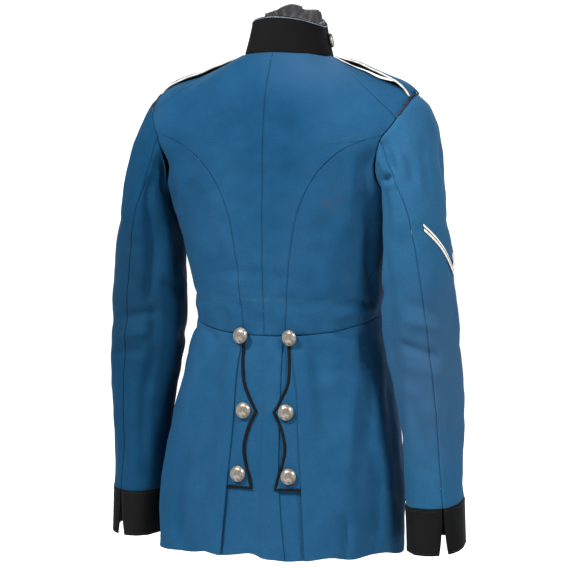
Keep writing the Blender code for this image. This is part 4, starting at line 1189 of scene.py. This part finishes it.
def strap_point(share, side, lift):
    """Return points and normals of the left strap at shares of its length and half width."""
    across = STRAP_INNER + (STRAP_OUTER - STRAP_INNER) * share
    middle = STRAP_CENTRE_INNER + (STRAP_CENTRE_OUTER - STRAP_CENTRE_INNER) * share
    angle, level = shoulder_place(across, middle + strap_half(share) * side)
    normal = surface_normal(bodice, angle, level)
    bow = lift + STRAP_ARCH * np.sin(math.pi * share)
    return bodice(angle, level) + normal * bow[..., None], normal


def add_straps(wool, black, white, thread):
    """Add the shoulder straps, their round white piping and their stitching."""
    shares = np.concatenate((np.linspace(0, STRAP_ROUND_SHARE, 10),
                             np.linspace(STRAP_ROUND_SHARE, 1, 46)[1:]))
    share, side = np.meshgrid(shares, np.linspace(-1, 1, 23), indexing="ij")
    edge_fall = -0.5 * np.abs(side)**6
    raised = STRAP_RAISE * smooth_step((side + 0.3) / 1.3) * np.sin(math.pi * np.clip(share, 0.02, 0.98))**0.6
    for name, sign in BOTH_SIDES:
        ripple = 0.5 * np.sin(share * 9 + sign) * np.sin(side * 2 + 1) + 0.3 * np.sin(share * 23 - sign)
        lift = STRAP_LIFT - 0.2 + edge_fall + ripple * 0.6 + (raised if sign < 0 else 0.0)
        points, normals = (to_side(values, sign) for values in strap_point(share, side, lift))
        # The strap's inner side takes the black wool: its dark underside, and painted shade for the shadow
        # under the raised back edge
        add_sheet(f"cloth_shoulder_strap_{name}", points, normals, [wool, black], STRAP_WALL - 0.2,
                  "blue_wool", f"shoulder_strap_{name}")
        rim, up = (np.vstack((grid[::-1, 0], grid[0, 1:-1], grid[:, -1])) for grid in (points, normals))
        path, up = curve_through(rim[::2], 150), spaced(up, 150)
        out = unit(np.cross(up, np.gradient(path, axis=0)))
        out *= np.sign(np.mean(np.sum(out * (path - points.mean(axis=(0, 1))), axis=1)))
        path = path + out * STRAP_PIPING_OUT - up * STRAP_PIPING_DROP
        tube = tube_mesh(f"piping_shoulder_strap_{name}", path, up, STRAP_PIPING_RADIUS, white, 12)
        dress(tube, "white_piping", f"strap_piping_{name}")
        lines = [(points[4:, k] + normals[4:, k] * STITCH_LIFT, normals[4:, 2]) for k in (2, -3)]
        add_stitches(f"stitching_strap_{name}", lines, thread)


def add_stitches(name, lines, thread, pitch=2.9, length=1.9, radius=0.22):
    """Add one mesh of small round stitches laid along lines of points and normals."""
    vertices, faces = [], []
    bends = np.linspace(0, 2 * math.pi, STITCH_SIDES, endpoint=False)[:, None]
    corners = np.arange(STITCH_SIDES)
    for line, normals in lines:
        total = np.linalg.norm(np.diff(line, axis=0), axis=1).sum()
        count = max(2, int(total / pitch))
        path, up = spaced(line, count), unit(spaced(normals, count))
        along = unit(np.gradient(path, axis=0))
        for centre, run, rise, turn in zip(path, along, up, np.cross(up, along)):
            base = len(vertices)
            for share, size, sink in STITCH_RINGS:
                ring = np.cos(bends) * turn + (np.sin(bends) + sink / radius) * rise
                vertices.extend(centre + run * length * share + radius * size * ring)
            rounds = (base + np.arange(4)[:, None] * STITCH_SIDES + corners).tolist()
            for upper, lower in zip(rounds, rounds[1:]):
                for k in range(STITCH_SIDES):
                    after = (k + 1) % STITCH_SIDES
                    faces.append((upper[k], upper[after], lower[after], lower[k]))
            faces += [rounds[0], rounds[-1]]
    mesh = new_mesh(name, vertices, faces, [thread])
    fix_normals(mesh)
    dress(add_object(name, mesh), "blue_wool")


def lathe_mesh(name, profile, radius, height, material):
    """Make a turned mesh from a profile of radius and height shares, closed underneath."""
    sides = BUTTON_SIDES
    turns = np.linspace(0, 2 * math.pi, sides, endpoint=False)
    profile = curve_through(np.array(profile) * (radius, height), 30)
    rings = np.stack((profile[1:, :1] * np.cos(turns), profile[1:, :1] * np.sin(turns),
                      np.repeat(profile[1:, 1:], sides, axis=1)), -1).reshape(-1, 3)
    vertices = np.vstack(((0, 0, profile[0, 1]), rings))
    faces = [(0, 1 + k, 1 + (k + 1) % sides) for k in range(sides)]
    for ring in range(len(profile) - 2):
        start = 1 + ring * sides
        faces += [(start + k, start + sides + k, start + sides + (k + 1) % sides, start + (k + 1) % sides)
                  for k in range(sides)]
    faces.append(tuple(len(vertices) - sides + k for k in range(sides))[::-1])
    mesh = new_mesh(name, vertices, faces, [material])
    fix_normals(mesh)
    return mesh


def seat_button(node, mesh, point, normal, tilt=(0.0, 0.0)):
    """Seat a button with its back on a point in millimetres, tilted by degrees if it hangs."""
    piece = add_object(f"metal_{node}", mesh)
    direction = Vector(normal)
    place = (Vector(point) + direction * BUTTON_GAP) * MILLIMETRE
    facing = direction.to_track_quat("Z", "Y").to_matrix().to_4x4()
    about_x, about_y = (Matrix.Rotation(math.radians(turn), 4, axis) for turn, axis in zip(tilt, "XY"))
    piece.matrix_world = Matrix.Translation(place) @ facing @ about_x @ about_y
    dress(piece, "silver_metal", node)


def front_button_levels():
    """Return the ring levels of the front buttons, evenly spaced down the front."""
    levels = np.linspace(0, WAIST_LEVEL, 200)
    wanted = np.linspace(FRONT_BUTTON_TOP, FRONT_BUTTON_BOTTOM, FRONT_BUTTONS)
    return np.interp(-wanted, -bodice(180, levels)[:, 2], levels)


def add_buttons(metal, thread):
    """Add the front and back buttons, the collar discs and the front buttonholes."""
    coat = lathe_mesh("coat_button", DOME_PROFILE, COAT_BUTTON / 2, COAT_BUTTON_HEIGHT, metal)
    disc = lathe_mesh("collar_disc", DISC_PROFILE, COLLAR_DISC / 2, COLLAR_DISC_HEIGHT, metal)
    holes = []
    for index, level in enumerate(front_button_levels(), 1):
        normal = surface_normal(bodice, 180.0, level)
        point = bodice(180.0, level) + normal * BODICE_LAYER
        seat_button(f"front_button_{index}", coat, point, normal)
        spread = 180 + np.linspace(-1.5, BUTTONHOLE_REACH, 24)
        normals = surface_normal(bodice, spread, level)
        line = bodice(spread, level) + normals * (BODICE_LAYER + 0.15)
        holes += [(line + (0, 0, shift), normals) for shift in (-0.5, 0.5)]
    add_stitches("stitching_buttonholes", holes, thread, 0.9, 1.2, 0.4)
    for name, sign in BOTH_SIDES:
        for index, (across, height) in enumerate(BACK_BUTTONS, 1):
            place = locate(SKIRT_RINGS, sign * across, height)
            normal = surface_normal(skirt, *place)
            layers = (1 if sign > 0 else 2) + (WAIST_BUTTON_LAYERS if index == 1 else 0)
            hangs = (name, index) == HANGING_BUTTON
            point = skirt(*place) + normal * (LAYER * layers + (HANGING_LIFT if hangs else 0))
            seat_button(f"back_button_{name}_{index}", coat, point, normal, HANGING_TILT if hangs else (0, 0))
        angle = float(sign * COLLAR_DISC_ANGLE)
        normal = -surface_normal(collar_surface, angle, 1.0)
        point = collar_surface(angle, 1.0) + normal * COLLAR_DISC_CLEARANCE
        seat_button(f"collar_disc_{name}", disc, point, normal)


def body_line(surface, places, lift, table):
    """Return points and normals of a line of places on the creased body, lifted from it."""
    angle, level = places.T
    base, normals = surface(angle, level), surface_normal(surface, angle, level)
    out = body_crease(angle, base[:, 2], table) + lift
    return base + normals * out[:, None], normals


def front_stitches(surface, levels, sign, lift, table):
    """Return a line of stitches beside the front edge, with its normals."""
    lap = front_angle(surface, levels) - 180
    places = np.column_stack((sign * (180 + lap * STITCH_LAP_SHARE), levels))
    return body_line(surface, places, lift + STITCH_LIFT, table)


def add_stitching(thread, black_thread):
    """Add the rows of stitches at the front edge, the skirt's edges, its hem and the cuffs."""
    body_levels = np.linspace(0.04, WAIST_LEVEL - 0.05, 120)
    skirt_levels = np.linspace(0.05, HEM_LEVEL - 0.06, 90)
    for name, sign in BOTH_SIDES:
        row = front_stitches(bodice, body_levels, sign, BODICE_LAYER if sign > 0 else 0.0, BODY_CREASES)
        add_stitches(f"stitching_front_{name}", [row], thread)
    for name, sign in BOTH_SIDES:
        rows = [front_stitches(skirt, skirt_levels, sign, LAYER if sign > 0 else 0.0, SKIRT_CREASES)]
        hem = np.column_stack((sign * np.linspace(HEM_STITCH_START, 178, 300),
                               np.full(300, HEM_LEVEL - HEM_STITCH_RISE)))
        rows.append(body_line(skirt, hem, 0.08, SKIRT_CREASES))
        add_stitches(f"stitching_skirt_{name}", rows, thread)
        slit = BACK_ARM_SEAM + seam_shift(1.0, sign)
        turn = np.linspace(slit + 3.5, slit + 356.5, 160)
        rows = []
        for level in CUFF_STITCH_LEVELS:
            normal = -surface_normal(cuff, turn, level, *ROUND_STEPS)
            points = cuff(turn, np.full(160, level)) + normal * (CUFF_LIFT + 0.08)
            rows.append((to_side(points, sign), to_side(normal, sign)))
        add_stitches(f"stitching_cuff_{name}", rows, black_thread)


def add_camera():
    """Place the camera at the photograph's angle: behind, a little to the wearer's right."""
    data = bpy.data.cameras.new("photograph_view")
    camera = add_object("photograph_view", data)
    bpy.context.scene.camera = camera
    data.sensor_width = 36.0
    data.lens = data.sensor_width * FOCAL_PIXELS / FRAME_PIXELS
    data.clip_end = 50.0
    turn = math.radians(CAMERA_TURN)
    camera.location = (-CAMERA_DISTANCE * math.sin(turn), CAMERA_DISTANCE * math.cos(turn), CAMERA_HEIGHT)
    yaw = math.pi + turn + math.atan2(YAW_PIXELS, FOCAL_PIXELS)
    camera.rotation_euler = (math.radians(90 - CAMERA_PITCH), 0.0, yaw)


def add_area_light(name, location, size, power):
    data = bpy.data.lights.new(name, "AREA")
    data.size, data.energy = size, power
    light = add_object(name, data)
    light.location = location
    light.rotation_euler = (Vector(LIGHT_TARGET) - Vector(location)).to_track_quat("-Z", "Y").to_euler()


def stage_piece(name, vertices, faces, glow):
    """Add a pale matt piece of the studio that glows a little, so that it reads as white."""
    mesh = bpy.data.meshes.new(name)
    mesh.from_pydata(vertices, [], faces)
    piece = add_object(name, mesh)
    finish = Finish(name)
    distance = finish.add("SeparateXYZ", ((0, finish.place),)).outputs["Y"]
    mesh.materials.append(finish.finished((
        ("Base Color", finish.mix("MIX", finish.noise(9, 2, 0.55), *STAGE_GREYS)),
        ("Roughness", 0.9),
        ("Emission Color", (1.0, 1.0, 1.0, 1)),
        ("Emission Strength", finish.ramp(distance, GLOW_BEHIND, GLOW_IN_FRONT, *glow)))))


def add_studio():
    """Add the pale floor, the low pale wall round it, the soft lights and the surroundings."""
    turns = np.linspace(0, 2 * math.pi, 96, endpoint=False)
    ring = [(FLOOR_RADIUS * math.cos(turn), FLOOR_RADIUS * math.sin(turn)) for turn in turns]
    low = [(x, y, FLOOR_HEIGHT) for x, y in ring]
    high = [(x, y, WALL_TOP) for x, y in ring]
    stage_piece("floor", low, [tuple(range(len(low)))], FLOOR_GLOW)
    count = len(low)
    sides = [(k, (k + 1) % count, count + (k + 1) % count, count + k) for k in range(count)]
    stage_piece("pale_wall", low + high, sides, WALL_GLOW)
    world = bpy.data.worlds.new("studio")
    bpy.context.scene.world = world
    world.use_nodes = True
    background = world.node_tree.nodes["Background"]
    background.inputs["Color"].default_value = (1.0, 1.0, 1.0, 1)
    background.inputs["Strength"].default_value = WORLD_STRENGTH
    bpy.context.scene.view_settings.view_transform = "Standard"
    for light in LIGHTS:
        add_area_light(*light)


def main():
    wool = wool_material("blue_wool_body", BODY_WOOL, BLUE_SHEEN, BODY_MARKS_AND_HIGHLIGHT)
    # Sleeve wools: painted shade on the left sleeve, painted light on the right sleeve
    shaded_left_wool = wool_material("blue_wool_left_sleeve_painted_shade", SHADED_LEFT_SLEEVE_WOOL, BLUE_SHEEN, LEFT_SLEEVE_PAINTED_SHADE)
    lit_right_wool = wool_material("blue_wool_right_sleeve_painted_light", LIT_RIGHT_SLEEVE_WOOL, BLUE_SHEEN, RIGHT_MARKS)
    black = wool_material("black_wool", BLACK_WOOL, BLACK_SHEEN)
    metal = metal_material()
    ribbed = {name: ribbed_material(name, *look) for name, look in RIBBED.items()}
    # The body, skirt and sleeve shells take the near-black painted shade on their inner side
    inside, thread = ribbed["inner_painted_shade"], ribbed["blue_thread"]
    add_bodice(wool, inside)
    add_skirts(wool, inside)
    add_flaps(wool, black)
    add_sleeves({1: shaded_left_wool, -1: lit_right_wool}, black, inside)
    add_collar(black, ribbed["dark_lining"], ribbed["grey_blue_cord"])
    add_chevron(ribbed["cream_braid"], ribbed["brown_stripe"])
    add_straps(wool, black, ribbed["white_cord"], thread)
    add_buttons(metal, thread)
    add_stitching(thread, ribbed["black_thread"])
    add_camera()
    add_studio()


main()
